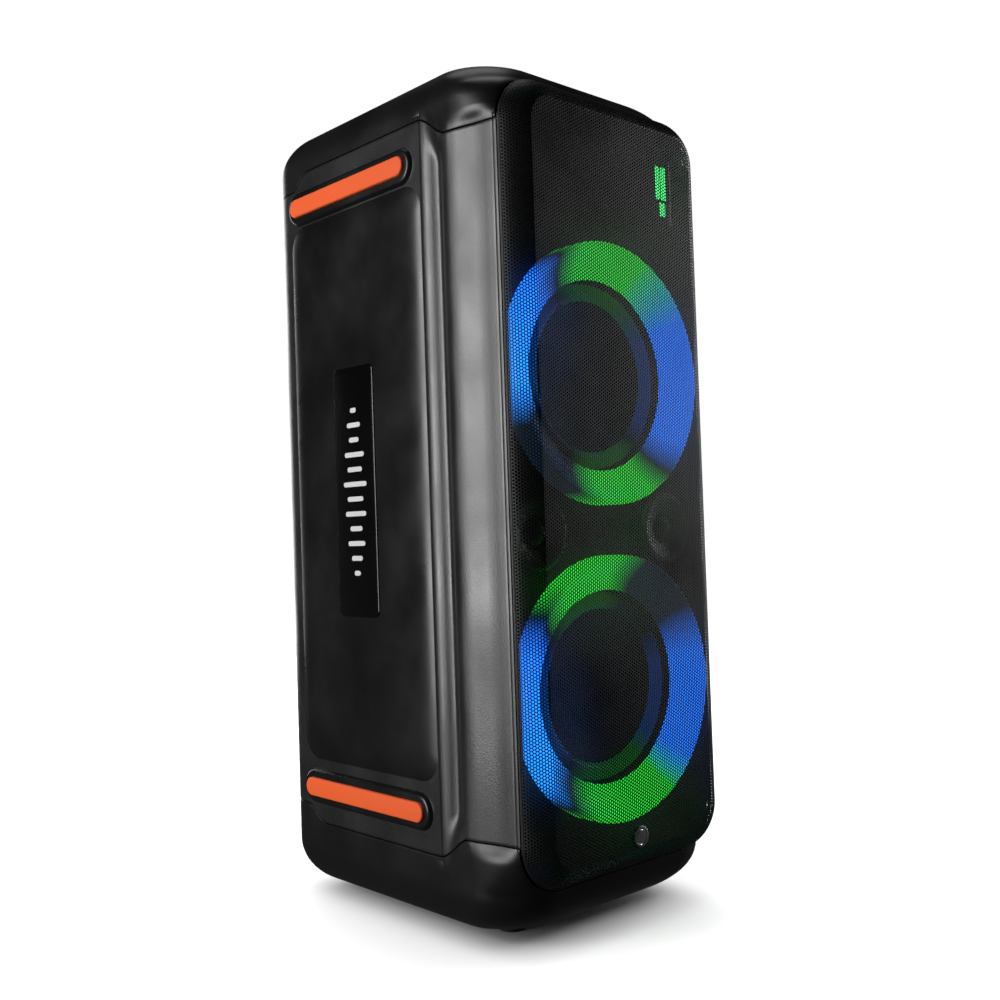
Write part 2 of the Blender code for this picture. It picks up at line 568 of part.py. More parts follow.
def main():
    for item in list(bpy.data.objects):
        bpy.data.objects.remove(item)

    plastic = make_material("cap_plastic", (0.018, 0.018, 0.020), 0.42)
    textured = make_material("textured_shell", (0.045, 0.045, 0.048), 0.38, 0.35)
    satin = make_material("satin_panel", (0.020, 0.020, 0.022), 0.30)
    gloss = make_material("gloss_black", (0.004, 0.004, 0.005), 0.08)
    orange = make_material("orange_rubber", (1.0, 0.130, 0.032), 0.60)
    rubber = make_material("black_rubber", (0.012, 0.012, 0.012), 0.80)
    grille_metal = make_material("grille_steel", (0.020, 0.020, 0.022), 0.40, 0.60)
    silver = make_material("satin_silver", (0.70, 0.70, 0.72), 0.25, 1.0)
    dark = make_material("inner_plastic", (0.008, 0.008, 0.009), 0.60)
    diffuser = make_material("light_diffuser", (0.10, 0.35, 0.80), 0.35)
    paper = make_material("cone_paper", (0.015, 0.015, 0.016), 0.75)
    foam = make_material("surround_rubber", (0.010, 0.010, 0.010), 0.55)
    steel = make_material("stamped_steel", (0.12, 0.12, 0.13), 0.45, 0.90)
    ferrite = make_material("magnet_ferrite", (0.030, 0.030, 0.032), 0.55)
    copper = make_material("coil_copper", (0.70, 0.32, 0.14), 0.35, 1.0)
    board = make_material("circuit_board", (0.020, 0.150, 0.050), 0.50)
    aluminium = make_material("heat_sink_aluminium", (0.55, 0.55, 0.57), 0.40, 1.0)
    battery = make_material("battery_sleeve", (0.030, 0.080, 0.250), 0.40)

    make_cabinet(plastic, textured, satin, gloss, orange, rubber)
    make_grille(grille_metal, dark, silver)
    make_baffle(dark, gloss)
    for level, z in WOOFER_Z.items():
        make_woofer(level, z, steel, ferrite, paper, foam, copper, diffuser)
    for side, sign in (("left", -1), ("right", 1)):
        make_tweeter(side, sign, steel, foam)
    make_controls(plastic, rubber, gloss)
    make_handle(plastic)
    make_rear(plastic, textured, gloss, steel)
    make_electronics(board, aluminium, battery)


main()
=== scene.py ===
"""Looks of the party speaker: fine skins, perforated grille, lit rings, controls and materials.

Everything is in metres in the CAD's frame: +Z up, the grille faces -Y.  The right side mirrors
the left one, so side parts are made for -X and mirrored.
"""
import math

import bmesh
import bpy
import numpy as np
from mathutils import Matrix, Vector


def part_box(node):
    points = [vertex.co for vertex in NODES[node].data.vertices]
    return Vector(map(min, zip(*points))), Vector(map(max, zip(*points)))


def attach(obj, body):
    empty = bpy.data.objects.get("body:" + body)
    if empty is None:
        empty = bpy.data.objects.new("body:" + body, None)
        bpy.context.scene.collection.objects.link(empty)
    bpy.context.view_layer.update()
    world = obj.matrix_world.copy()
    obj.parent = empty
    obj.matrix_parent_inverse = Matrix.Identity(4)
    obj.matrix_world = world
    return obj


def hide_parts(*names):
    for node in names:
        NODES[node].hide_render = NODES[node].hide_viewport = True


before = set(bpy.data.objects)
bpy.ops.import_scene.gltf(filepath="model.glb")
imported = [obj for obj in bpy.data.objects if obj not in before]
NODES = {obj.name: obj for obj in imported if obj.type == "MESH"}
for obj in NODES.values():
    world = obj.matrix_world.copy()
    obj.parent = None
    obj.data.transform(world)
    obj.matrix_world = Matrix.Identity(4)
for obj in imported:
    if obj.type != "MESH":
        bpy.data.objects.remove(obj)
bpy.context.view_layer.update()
CABINET = "cabinet"


def span(node):
    """Lowest and highest x, y and z of a CAD node as (x0, x1, y0, y1, z0, z1)."""
    lo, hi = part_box(node)
    return lo.x, hi.x, lo.y, hi.y, lo.z, hi.z


# ---- sizes read from the frame ---------------------------------------------------------------------
PAD_X = -span("side_panel_left")[1] - 0.0004          # half width at the flat pads
REAR_Y = span("top_cap")[3]
TOP_Z = span("top_cap")[5]
BASE_Z = span("bottom_cap")[4]
CAP_FRONT_Y = span("top_cap")[2]
SEAM_HIGH_Z = span("side_shell_left")[5] + 0.0004
SEAM_LOW_Z = span("side_shell_left")[4] - 0.0004
MIDDLE_Z = (SEAM_HIGH_Z + SEAM_LOW_Z) / 2
COVER_Y = span("rear_cover")[3]
COVER_HALF = span("rear_cover")[1]
BAFFLE_Y = span("front_baffle")[2]

# ---- sizes of the fine surface ---------------------------------------------------------------------
SKIN = 0.0030               # wall of the moulded parts
SIDE_ROUND = 0.0460         # end caps: rounding of the side and rear edges
FRONT_ROUND = 0.0660        # and of the front edges
CAP_CORNER_WIDTH = 0.0560   # upright front corners of the caps, elliptic
CAP_CORNER_DEPTH = 0.0500
REAR_CORNER = 0.0380        # upright rear corners
SEAM_GAP = 0.0009           # open line between the caps and the side shells
SEAM_EDGE = 0.0007          # rounding of its two edges
SHELL_LINING = 0.0140       # depth of the side shell's inner face, behind the valley
PAD_SEAM = 0.0168           # how far the seam steps into the caps over the pad
COLUMN_SEAM = -0.0040       # and back over the column
SEAM_TURN = (-0.1060, 0.0360)   # where the seam climbs from the column to the pad: from y, over
SEAM_END = (0.1170, 0.0260)     # and where it comes back behind the pad
PAD_FROM_Y = -0.0722        # front edge of the flat pad
VALLEY_Y = -0.0925          # deepest line between the column and the shoulder
VALLEY_REACH = 0.0240
VALLEY_FILL = 0.90          # share of the valley that has filled up at the seam
VALLEY_RUN_OUT = 0.0300     # over this length of the side shell
CAP_RUN_IN = 0.0140         # height in which a cap turns from the section to its round plan

GRILLE_CORNER = 0.0440
GRILLE_BEND = 0.0343        # rolled border of the grille
PANEL_CORNER = 0.0240       # side panel seen from the side
PANEL_RISE = 0.0030         # how far it bulges
PANEL_EDGE = 0.0300         # width of its rounded border
PANEL_INSETS = (0.0, 0.0004, 0.0012, 0.0026, 0.0045, 0.007, 0.010, 0.014, 0.018, 0.023, 0.028, 0.034,
                0.042, 0.052)
PANEL_STEEPNESS = 3.4
BOSS_MARGIN = 0.0072        # how far the boss under a rail reaches past it
BEND_FROM = math.radians(20)
BEND_TO = math.radians(70)
HOLE_PITCH = 0.0030
HOLE_RADIUS = 0.00118       # to the corners of the six-sided holes
SHEET = 0.0006
GRILLE_PARTS = 4            # pieces that the sheet is divided into

WELL = (-0.0745, 0.0745, 0.0255, 0.1285)    # hand well: x from, x to, y from, y to
WELL_FLOOR_Z = 0.7500
WELL_CORNER = 0.0100
SURROUND_MIDDLE = 0.0800
SURROUND_ROLL = 0.0080
SURROUND_SKIN = 0.0010
RING_INNER = 0.0900
RING_GLOW = 2.2
# Painted light: the rubber surround beside each ring gets a weak emission in the ring's colours, a painted
# glow for the ring's light falling on the rubber.
PAINTED_SPILL_GLOW = 0.22           # light of the ring that shows in the rubber beside it

# ---- camera and light ------------------------------------------------------------------------------
CAMERA_AT = Vector((-0.8003, -0.8870, 0.3699))
CAMERA_YAW, CAMERA_PITCH, CAMERA_ROLL = math.radians(42.418), math.radians(1.567), math.radians(-1.943)
LENS = 41.42
FLOOR_SIZE = 120.0
FLOOR_SUN = (4.4, math.radians(110))        # strength and width
BACKDROP = 1.02
ROOM_GLOW = (0.70, 0.10)    # from below and from above
ROOM_TURN = (-0.35, 0.25)   # heights between which it changes
SOFTBOXES = {                   # place, aim, size, power
    "left": ((-2.14, 0.44, 0.74), (0, 0, 0.46), (0.80, 1.80), 44),
    "right": ((2.10, -0.65, 0.90), (0, 0, 0.42), (0.70, 1.80), 30),
    "rear": ((0.75, 2.20, 0.80), (0, 0, 0.42), (2.00, 1.60), 34),
    "top": ((0.30, 0.60, 2.60), (0, 0, 0.60), (1.20, 1.20), 4),
}


# ---- mesh tools ------------------------------------------------------------------------------------
def place(obj, material, body=CABINET, replaced=(), sharp=32):
    """Give a finished object its material, body, slot and shading."""
    obj.data.materials.clear()
    obj.data.materials.append(material)
    obj.data.shade_smooth()
    if sharp:
        obj.data.set_sharp_from_angle(angle=math.radians(sharp))
    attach(obj, body)
    if replaced:
        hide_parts(*replaced)
    return obj


def mesh_object(name, points, faces):
    mesh = bpy.data.meshes.new(name)
    mesh.from_pydata([tuple(p) for p in points], [], faces)
    bm = bmesh.new()
    bm.from_mesh(mesh)
    bmesh.ops.remove_doubles(bm, verts=bm.verts, dist=1e-6)
    bmesh.ops.recalc_face_normals(bm, faces=bm.faces)
    bm.to_mesh(mesh)
    bm.free()
    obj = bpy.data.objects.new(name, mesh)
    bpy.context.scene.collection.objects.link(obj)
    return obj


def lofted(name, rings, caps=True, closed=True, loop=False):
    """Skin through rings of equal length: capped, open, or joined end to end (loop)."""
    count = len(rings[0])
    points = [p for ring in rings for p in ring]
    faces = []
    pairs = [(k, k + 1) for k in range(len(rings) - 1)] + ([(len(rings) - 1, 0)] if loop else [])
    for low, high in pairs:
        for i in range(count if closed else count - 1):
            j = (i + 1) % count
            faces.append((low * count + i, low * count + j, high * count + j, high * count + i))
    if caps and not loop:
        faces.append(tuple(range(count)))
        faces.append(tuple(range(count * (len(rings) - 1), count * len(rings))))
    return mesh_object(name, points, faces)


PLANES = {"X": lambda u, v, w: (w, u, v), "Y": lambda u, v, w: (u, w, v), "Z": lambda u, v, w: (u, v, w)}


def stacked(name, axis, layers, **options):
    """Loft of plane outlines, each given with its place along the axis."""
    put = PLANES[axis]
    return lofted(name, [[put(u, v, w) for u, v in outline] for outline, w in layers], **options)


def turned(name, axis, profile, centre, segments=64, loop=False, wobble=None):
    """Solid of revolution through (radius, along) pairs."""
    put, (u0, v0) = PLANES[axis], centre
    rings = []
    for radius, along in profile:
        ring = []
        for i in range(segments):
            a = 2 * math.pi * i / segments
            r = max(radius, 1e-5) * (1 if wobble is None else wobble(a, along))
            ring.append(put(u0 + r * math.cos(a), v0 + r * math.sin(a), along))
        rings.append(ring)
    return lofted(name, rings, loop=loop)


def raised_signs(name, axis, outlines, levels):
    """Flat signs that stand on a face, each given by its outline."""
    put = PLANES[axis]
    points, faces = [], []
    for outline in outlines:
        count, base = len(outline), len(points)
        for w in levels:
            points += [put(u, v, w) for u, v in outline]
        faces += [tuple(range(base, base + count)), tuple(range(base + count, base + 2 * count))]
        faces += [(base + i, base + (i + 1) % count, base + count + (i + 1) % count, base + count + i)
                  for i in range(count)]
    return mesh_object(name, points, faces)


def arc(cx, cy, rx, ry, start, end, steps):
    angles = np.radians(np.linspace(start, end, steps + 1))
    return [(cx + rx * math.cos(a), cy + ry * math.sin(a)) for a in angles]


def rounded_rect(x0, x1, y0, y1, radius, steps=8):
    r = max(radius, 1e-5)
    return (arc(x1 - r, y0 + r, r, r, -90, 0, steps) + arc(x1 - r, y1 - r, r, r, 0, 90, steps)
            + arc(x0 + r, y1 - r, r, r, 90, 180, steps) + arc(x0 + r, y0 + r, r, r, 180, 270, steps))


def spline(points, steps):
    """Smooth curve through the points, Catmull-Rom with doubled ends."""
    p = np.array([points[0]] + list(points) + [points[-1]], float)
    out = []
    for k in range(1, len(p) - 2):
        for s in range(steps):
            t = s / steps
            out.append(0.5 * (2 * p[k] + (p[k + 1] - p[k - 1]) * t
                              + (2 * p[k - 1] - 5 * p[k] + 4 * p[k + 1] - p[k + 2]) * t * t
                              + (3 * p[k] - p[k - 1] - 3 * p[k + 1] + p[k + 2]) * t ** 3))
    return [tuple(q) for q in out] + [tuple(points[-1])]


def even(points, count):
    """Resample a polyline to a number of evenly spaced points."""
    p = np.array(points, float)
    along = np.concatenate([[0], np.cumsum(np.linalg.norm(np.diff(p, axis=0), axis=1))])
    at = np.linspace(0, along[-1], count)
    return np.stack([np.interp(at, along, p[:, 0]), np.interp(at, along, p[:, 1])], 1)


def smooth(t):
    t = np.clip(t, 0, 1)
    return t * t * (3 - 2 * t)


def cut(target, cutter):
    """Boolean difference, applied at once."""
    modifier = target.modifiers.new("cut", "BOOLEAN")
    modifier.object = cutter
    modifier.operation = "DIFFERENCE"
    bpy.context.view_layer.update()
    graph = bpy.context.evaluated_depsgraph_get()
    result = bpy.data.meshes.new_from_object(target.evaluated_get(graph))
    target.modifiers.clear()
    target.data = result
    bpy.data.objects.remove(cutter)
    return target


def mirrored(obj, name):
    """Copy of an unplaced object on the other side."""
    mesh = obj.data.copy()
    mesh.transform(Matrix.Scale(-1, 4, Vector((1, 0, 0))))
    mesh.flip_normals()
    copy = bpy.data.objects.new(name, mesh)
    bpy.context.scene.collection.objects.link(copy)
    return copy


def both_sides(obj, stem, material, nodes=(), sharp=32):
    """Place an object made for the left, and its mirror image on the right."""
    obj.name = f"{stem}_left_skin"
    copy = mirrored(obj, f"{stem}_right_skin")
    for piece, side in ((obj, "left"), (copy, "right")):
        place(piece, material, replaced=[n.format(side) for n in nodes], sharp=sharp)


# ---- materials -------------------------------------------------------------------------------------
class Surface:
    """Principled material whose colour, roughness and bump come from noise in object space."""

    def __init__(self, name, colour, roughness, metallic=0.0, spread=0.25, grain=900.0, bump=0.05,
                 depth=0.0002, rough_spread=0.08, **sockets):
        self.material = bpy.data.materials.new(name)
        self.material.use_nodes = True
        self.nodes = self.material.node_tree.nodes
        self.links = self.material.node_tree.links
        self.shader = self.nodes["Principled BSDF"]
        self.shader.inputs["Metallic"].default_value = metallic
        for socket, value in sockets.items():
            self.shader.inputs[socket.replace("_", " ")].default_value = value
        self.place = self.nodes.new("ShaderNodeTexCoord").outputs["Object"]

        fine = self.noise(grain, 3.0)
        broad = self.noise(14.0, 4.0)
        dark = tuple(c * (1 - spread) for c in colour)
        light = tuple(min(c * (1 + spread), 1.0) for c in colour)
        self.link(self.ramp(fine, dark, light), "Base Color")
        self.link(self.remap(broad, roughness - rough_spread, roughness + rough_spread), "Roughness")
        if bump:
            node = self.nodes.new("ShaderNodeBump")
            node.inputs["Strength"].default_value = bump
            node.inputs["Distance"].default_value = depth
            self.links.new(fine, node.inputs["Height"])
            self.link(node.outputs["Normal"], "Normal")

    def noise(self, scale, detail):
        node = self.nodes.new("ShaderNodeTexNoise")
        node.inputs["Scale"].default_value = scale
        node.inputs["Detail"].default_value = detail
        self.links.new(self.place, node.inputs["Vector"])
        return node.outputs["Fac"]

    def ramp(self, factor, low, high):
        node = self.nodes.new("ShaderNodeValToRGB")
        node.color_ramp.elements[0].position = 0.32
        node.color_ramp.elements[1].position = 0.68
        node.color_ramp.elements[0].color = (*low, 1)
        node.color_ramp.elements[1].color = (*high, 1)
        self.links.new(factor, node.inputs["Fac"])
        return node.outputs["Color"]

    def remap(self, factor, low, high):
        node = self.nodes.new("ShaderNodeMapRange")
        node.inputs["From Min"].default_value = 0.3
        node.inputs["From Max"].default_value = 0.7
        node.inputs["To Min"].default_value = low
        node.inputs["To Max"].default_value = high
        self.links.new(factor, node.inputs["Value"])
        return node.outputs["Result"]

    def link(self, output, socket):
        self.links.new(output, self.shader.inputs[socket])


CAP_PLASTIC = Surface("cap_plastic", (0.0075, 0.0075, 0.0078), 0.34, bump=0.04, grain=1400).material
SHELL_PLASTIC = Surface("textured_shell", (0.0120, 0.0120, 0.0125), 0.36, spread=0.60, grain=750, bump=0.45,
                        depth=0.0003, Specular_IOR_Level=0.75).material
SATIN_PLASTIC = Surface("satin_panel", (0.0065, 0.0065, 0.0068), 0.30, bump=0.03, grain=1600).material
GLOSS_PLASTIC = Surface("gloss_black", (0.003, 0.003, 0.0032), 0.12, bump=0.0, rough_spread=0.03).material
ORANGE_RUBBER = Surface("orange_rubber", (0.95, 0.135, 0.030), 0.60, spread=0.05, bump=0.10, grain=1000,
                        Specular_IOR_Level=0.3).material
BLACK_RUBBER = Surface("black_rubber", (0.009, 0.009, 0.009), 0.75, bump=0.15).material
GRILLE_METAL = Surface("grille_steel", (0.007, 0.007, 0.0073), 0.40, bump=0.0).material
SILVER = Surface("satin_silver", (0.62, 0.62, 0.64), 0.28, metallic=1.0, spread=0.08, bump=0.05).material
DARK_PLASTIC = Surface("inner_plastic", (0.0025, 0.0025, 0.0026), 0.60, bump=0.10).material
CONE_PAPER = Surface("cone_paper", (0.009, 0.009, 0.0095), 0.72, spread=0.45, grain=500, bump=0.35).material
SURROUND = Surface("surround_rubber", (0.006, 0.006, 0.006), 0.50, bump=0.05).material
STEEL = Surface("stamped_steel", (0.12, 0.12, 0.13), 0.42, metallic=0.9, spread=0.15, bump=0.08).material
FERRITE = Surface("magnet_ferrite", (0.030, 0.030, 0.032), 0.60, bump=0.25).material
COPPER = Surface("coil_copper", (0.70, 0.32, 0.14), 0.34, metallic=1.0, spread=0.12, bump=0.1).material
BOARD = Surface("circuit_board", (0.020, 0.150, 0.050), 0.42, spread=0.20, grain=300).material
ALUMINIUM = Surface("heat_sink_aluminium", (0.55, 0.55, 0.57), 0.36, metallic=1.0, spread=0.06).material
SLEEVE = Surface("battery_sleeve", (0.030, 0.080, 0.250), 0.35, spread=0.10, grain=60).material
MARKING = Surface("white_marking", (0.74, 0.74, 0.75), 0.45, spread=0.05, bump=0.0).material


def ring_light(name, centre_z, stops, strength):
    """Diffuser whose glow runs round its axis.  Stops are (clock share 0..1, colour), 0 at the top."""
    surface = Surface(name, (0.05, 0.05, 0.055), 0.45, bump=0.06, grain=700)
    nodes, links = surface.nodes, surface.links
    parts = nodes.new("ShaderNodeSeparateXYZ")
    links.new(surface.place, parts.inputs["Vector"])
    height = nodes.new("ShaderNodeMath")
    height.operation = "SUBTRACT"
    height.inputs[1].default_value = centre_z
    links.new(parts.outputs["Z"], height.inputs[0])
    angle = nodes.new("ShaderNodeMath")
    angle.operation = "ARCTAN2"
    links.new(parts.outputs["X"], angle.inputs[0])
    links.new(height.outputs[0], angle.inputs[1])
    share = nodes.new("ShaderNodeMapRange")
    share.inputs["From Min"].default_value = -math.pi
    share.inputs["From Max"].default_value = math.pi
    links.new(angle.outputs[0], share.inputs["Value"])
    ramp = nodes.new("ShaderNodeValToRGB")
    elements = ramp.color_ramp.elements
    while len(elements) > 1:
        elements.remove(elements[-1])
    for index, (clock, colour) in enumerate(sorted(((c + 0.5) % 1.0, col) for c, col in stops)):
        element = elements[0] if index == 0 else elements.new(clock)
        element.position = clock
        element.color = (*colour, 1)
    links.new(share.outputs["Result"], ramp.inputs["Fac"])
    surface.link(ramp.outputs["Color"], "Emission Color")
    surface.shader.inputs["Emission Strength"].default_value = strength
    return surface.material


def lit(name, colour, strength):
    surface = Surface(name, (0.05, 0.05, 0.05), 0.4, bump=0.0)
    surface.link(surface.ramp(surface.noise(200, 1.0), tuple(c * 0.85 for c in colour), colour),
                 "Emission Color")
    surface.shader.inputs["Emission Strength"].default_value = strength
    return surface.material


# ---- plan of the cabinet ---------------------------------------------------------------------------
PLAN_COUNTS = (14, 84, 20, 16, 10)        # front, corner with column, pad, rear corner, rear


def join_plan(parts):
    """Resample the five stretches of a left half plan, so that every plan has matching points."""
    rows = []
    for points, count in zip(parts, PLAN_COUNTS):
        sampled = even(points, count + 1)
        rows.append(sampled if not rows else sampled[1:])
    return np.concatenate(rows)


def section_plan():
    """Middle of the cabinet: bevelled lip, dark strip, column, valley and shoulder, then the pad."""
    strip = [(-0.1300, CAP_FRONT_Y), (-0.1306, -0.1612), (-0.1300, -0.1596)]
    column = spline([(-0.1303, -0.1590), (-0.1312, -0.1530), (-0.1321, -0.1465), (-0.1333, -0.1400),
                     (-0.1350, -0.1335), (-0.1369, -0.1270), (-0.1387, -0.1205), (-0.1399, -0.1140),
                     (-0.1403, -0.1080), (-0.1393, -0.1020), (-0.1370, -0.0970), (-0.1352, -0.0935),
                     (-0.1350, -0.0905),
                     (-0.1364, -0.0870), (-0.1385, -0.0830), (-0.1403, -0.0785), (-0.1411, -0.0742)], 8)
    groove = [(-0.1408, -0.0736), (-0.1408, -0.0731), (-PAD_X, PAD_FROM_Y)]
    corner = arc(-PAD_X + REAR_CORNER, REAR_Y - REAR_CORNER, REAR_CORNER, REAR_CORNER, 180, 90, 24)
    return join_plan([[(0, CAP_FRONT_Y), (-0.1300, CAP_FRONT_Y)], strip + column[1:] + groove,
                      [(-PAD_X, PAD_FROM_Y), (-PAD_X, REAR_Y - REAR_CORNER)], corner,
                      [corner[-1], (0, REAR_Y)]])


def mouth_half(z):
    """Half width of the grille's outline at a height, and 0 above and below the grille."""
    _, x1, _, _, z0, z1 = span("grille")
    beyond = max(z0 + GRILLE_CORNER - z, z - z1 + GRILLE_CORNER, 0)
    return x1 - GRILLE_CORNER + math.sqrt(GRILLE_CORNER ** 2 - beyond ** 2) if beyond < GRILLE_CORNER else 0


def cap_plan(side_inset, front_inset, z):
    """Plan of a cap, whose front corners reach in to the grille's outline at that height."""
    half, front, rear = PAD_X - side_inset, CAP_FRONT_Y + front_inset, REAR_Y - side_inset
    width = min(max(half - mouth_half(z) + 0.0030, 0.0135), CAP_CORNER_WIDTH)
    radius = max(REAR_CORNER - 0.5 * side_inset, 0.004)
    front_end = max(PAD_FROM_Y, front + CAP_CORNER_DEPTH + 0.001)
    corner = arc(-half + radius, rear - radius, radius, radius, 180, 90, 24)
    turn = arc(-half + width, front + CAP_CORNER_DEPTH, width, CAP_CORNER_DEPTH, 270, 180, 40)
    return join_plan([[(0, front), (-half + width, front)], turn + [(-half, front_end)],
                      [(-half, front_end), (-half, rear - radius)], corner, [corner[-1], (0, rear)]])


def inward(plan, distance):
    """Move a left half plan into the cabinet."""
    step = np.gradient(plan, axis=0)
    normal = np.stack([step[:, 1], -step[:, 0]], 1)
    normal /= np.maximum(np.linalg.norm(normal, axis=1, keepdims=True), 1e-9)
    moved = plan + normal * distance
    moved[0, 0] = moved[-1, 0] = 0
    return moved


def full_loop(half, heights):
    """Closed ring from a left half plan and its heights."""
    left = [(x, y, z) for (x, y), z in zip(half, heights)]
    return left + [(-x, y, z) for x, y, z in reversed(left[1:-1])]


def seam_height(plan, direction):
    """Height of the seam: out over the pad, back over the column, with a notch at the valley."""
    y = plan[:, 1]
    base = SEAM_HIGH_Z if direction > 0 else SEAM_LOW_Z
    pad = smooth((y - SEAM_TURN[0]) / SEAM_TURN[1])
    rear = smooth((y - SEAM_END[0]) / SEAM_END[1])
    return base + direction * (COLUMN_SEAM * (1 - pad) + PAD_SEAM * pad * (1 - rear))


def valley_fill(plan, distance):
    """How far the valley has filled up, at a distance from the seam."""
    near = smooth(1 - np.abs(plan[:, 1] - VALLEY_Y) / VALLEY_REACH)
    return VALLEY_FILL * near * smooth(1 - distance / VALLEY_RUN_OUT)


SECTION = section_plan()


def filled_section(distance):
    """Section plan at a distance from the seam, where the valley runs out to the smooth side."""
    smooth_side = cap_plan(0, 0, MIDDLE_Z)
    fill = valley_fill(SECTION, distance)[:, None]
    return SECTION * (1 - fill) + smooth_side * fill


def cap_skin(direction):
    """Outer rings of a cap, from its flat end to the seam, where they take the section's shape."""
    end = TOP_Z if direction > 0 else BASE_Z
    centre = end - direction * SIDE_ROUND
    seam = seam_height(SECTION, direction)
    edge = filled_section(0)
    rings = []
    for inset, back in ((SEAM_EDGE, 0.0), (SEAM_EDGE * 0.3, SEAM_EDGE * 0.3)):
        rings.append(full_loop(inward(edge, inset), seam + direction * (SEAM_GAP / 2 + back)))
    for t in np.linspace(0, 1, 15):
        heights = seam + direction * (SEAM_GAP / 2 + SEAM_EDGE) * (1 - t) + (centre - seam) * t
        blend = smooth(np.abs(heights - seam) / CAP_RUN_IN)[:, None]
        round_plan = np.array([cap_plan(0, 0, z)[i] for i, z in enumerate(heights)])
        rings.append(full_loop(edge * (1 - blend) + round_plan * blend, heights))
    for share in np.linspace(0, 1, 27)[1:]:
        inset = 1 - math.cos(share * math.pi / 2)
        z = centre + direction * SIDE_ROUND * math.sin(share * math.pi / 2)
        plan = cap_plan(SIDE_ROUND * inset, FRONT_ROUND * inset, z)
        rings.append(full_loop(plan, np.full(len(plan), z)))
    return rings[::-1]


def cap_hollow(direction):
    """Inner rings of a cap, from the seam to the end wall, well inside the column and the valley."""
    centre = (TOP_Z if direction > 0 else BASE_Z) - direction * SIDE_ROUND
    rings = []
    for angle in np.radians(np.linspace(50, 90, 6)):
        inset = 1 - math.cos(angle)
        z = centre + direction * (SIDE_ROUND - SKIN) * math.sin(angle)
        plan = cap_plan(SKIN + (SIDE_ROUND - SKIN) * inset, SKIN + (FRONT_ROUND - SKIN) * inset, z)
        if not rings:
            rings.append(full_loop(plan, seam_height(SECTION, direction) + direction * SEAM_GAP / 2))
        rings.append(full_loop(plan, np.full(len(plan), z)))
    return rings


def grille_outline(inset, steps=16):
    x0, x1, _, _, z0, z1 = span("grille")
    return rounded_rect(x0 + inset, x1 - inset, z0 + inset, z1 - inset, GRILLE_CORNER - inset, steps)


def make_caps():
    for name, direction in (("top_cap", 1), ("bottom_cap", -1)):
        cap = lofted(f"{name}_skin", cap_skin(direction) + cap_hollow(direction))
        mouth = [(grille_outline(-0.0040), -0.2100), (grille_outline(-0.0024), CAP_FRONT_Y - 0.0005),
                 (grille_outline(-0.0009), CAP_FRONT_Y + 0.0015), (grille_outline(-0.0009), BAFFLE_Y + 0.013)]
        cut(cap, stacked("mouth", "Y", mouth))
        if direction > 0:
            cut_top(cap)
        place(cap, CAP_PLASTIC, replaced=[name], sharp=28)


def cut_top(cap):
    """Openings for the control tray and the hand well, each with a chamfered edge."""
    x0, x1, y0, y1, _, _ = span("control_panel")
    for (a, b, c, d), radius in (((x0, x1, y0, y1), 0.0084), (WELL, WELL_CORNER)):
        edge = [(-0.0004, -0.030), (-0.0004, -0.0010), (-0.0014, 0.0), (-0.0060, 0.0046)]
        layers = [(rounded_rect(a + g, b - g, c + g, d - g, radius - g), TOP_Z + w) for g, w in edge]
        cut(cap, stacked("opening", "Z", layers))


def make_side_shells():
    low, high = seam_height(SECTION, -1), seam_height(SECTION, 1)
    keep = slice(PLAN_COUNTS[0], len(SECTION) - PLAN_COUNTS[-1])

    def row(plan, heights):
        return [(x, y, z) for (x, y), z in zip(plan[keep], heights[keep])]

    ends = filled_section(0)
    edge = SEAM_GAP / 2
    rings = [row(inward(ends, SEAM_EDGE), low + edge), row(inward(ends, SEAM_EDGE * 0.3), low + edge * 1.6)]
    run_out = [0.0, 0.002, 0.004, 0.007, 0.010, 0.014, 0.018, 0.022, 0.026, 0.030]
    for distance in run_out:
        rings.append(row(filled_section(distance), low + edge + SEAM_EDGE + distance))
    for t in np.linspace(0, 1, 12)[1:-1]:
        rings.append(row(SECTION, low * (1 - t) + high * t + run_out[-1] * (1 - 2 * t)))
    for distance in run_out[::-1]:
        rings.append(row(filled_section(distance), high - edge - SEAM_EDGE - distance))
    rings += [row(inward(ends, SEAM_EDGE * 0.3), high - edge * 1.6),
              row(inward(ends, SEAM_EDGE), high - edge)]
    lining = cap_plan(SHELL_LINING, SHELL_LINING, MIDDLE_Z)
    rings += [row(lining, high - edge), row(lining, low + edge)]
    shell = lofted("side_shell_skin", rings, closed=False, caps=False, loop=True)
    bm = bmesh.new()
    bm.from_mesh(shell.data)
    bmesh.ops.holes_fill(bm, edges=[e for e in bm.edges if e.is_boundary], sides=0)
    bmesh.ops.recalc_face_normals(bm, faces=bm.faces)
    bm.to_mesh(shell.data)
    bm.free()
    both_sides(shell, "side_shell", SHELL_PLASTIC, ["side_shell_{}"], sharp=28)


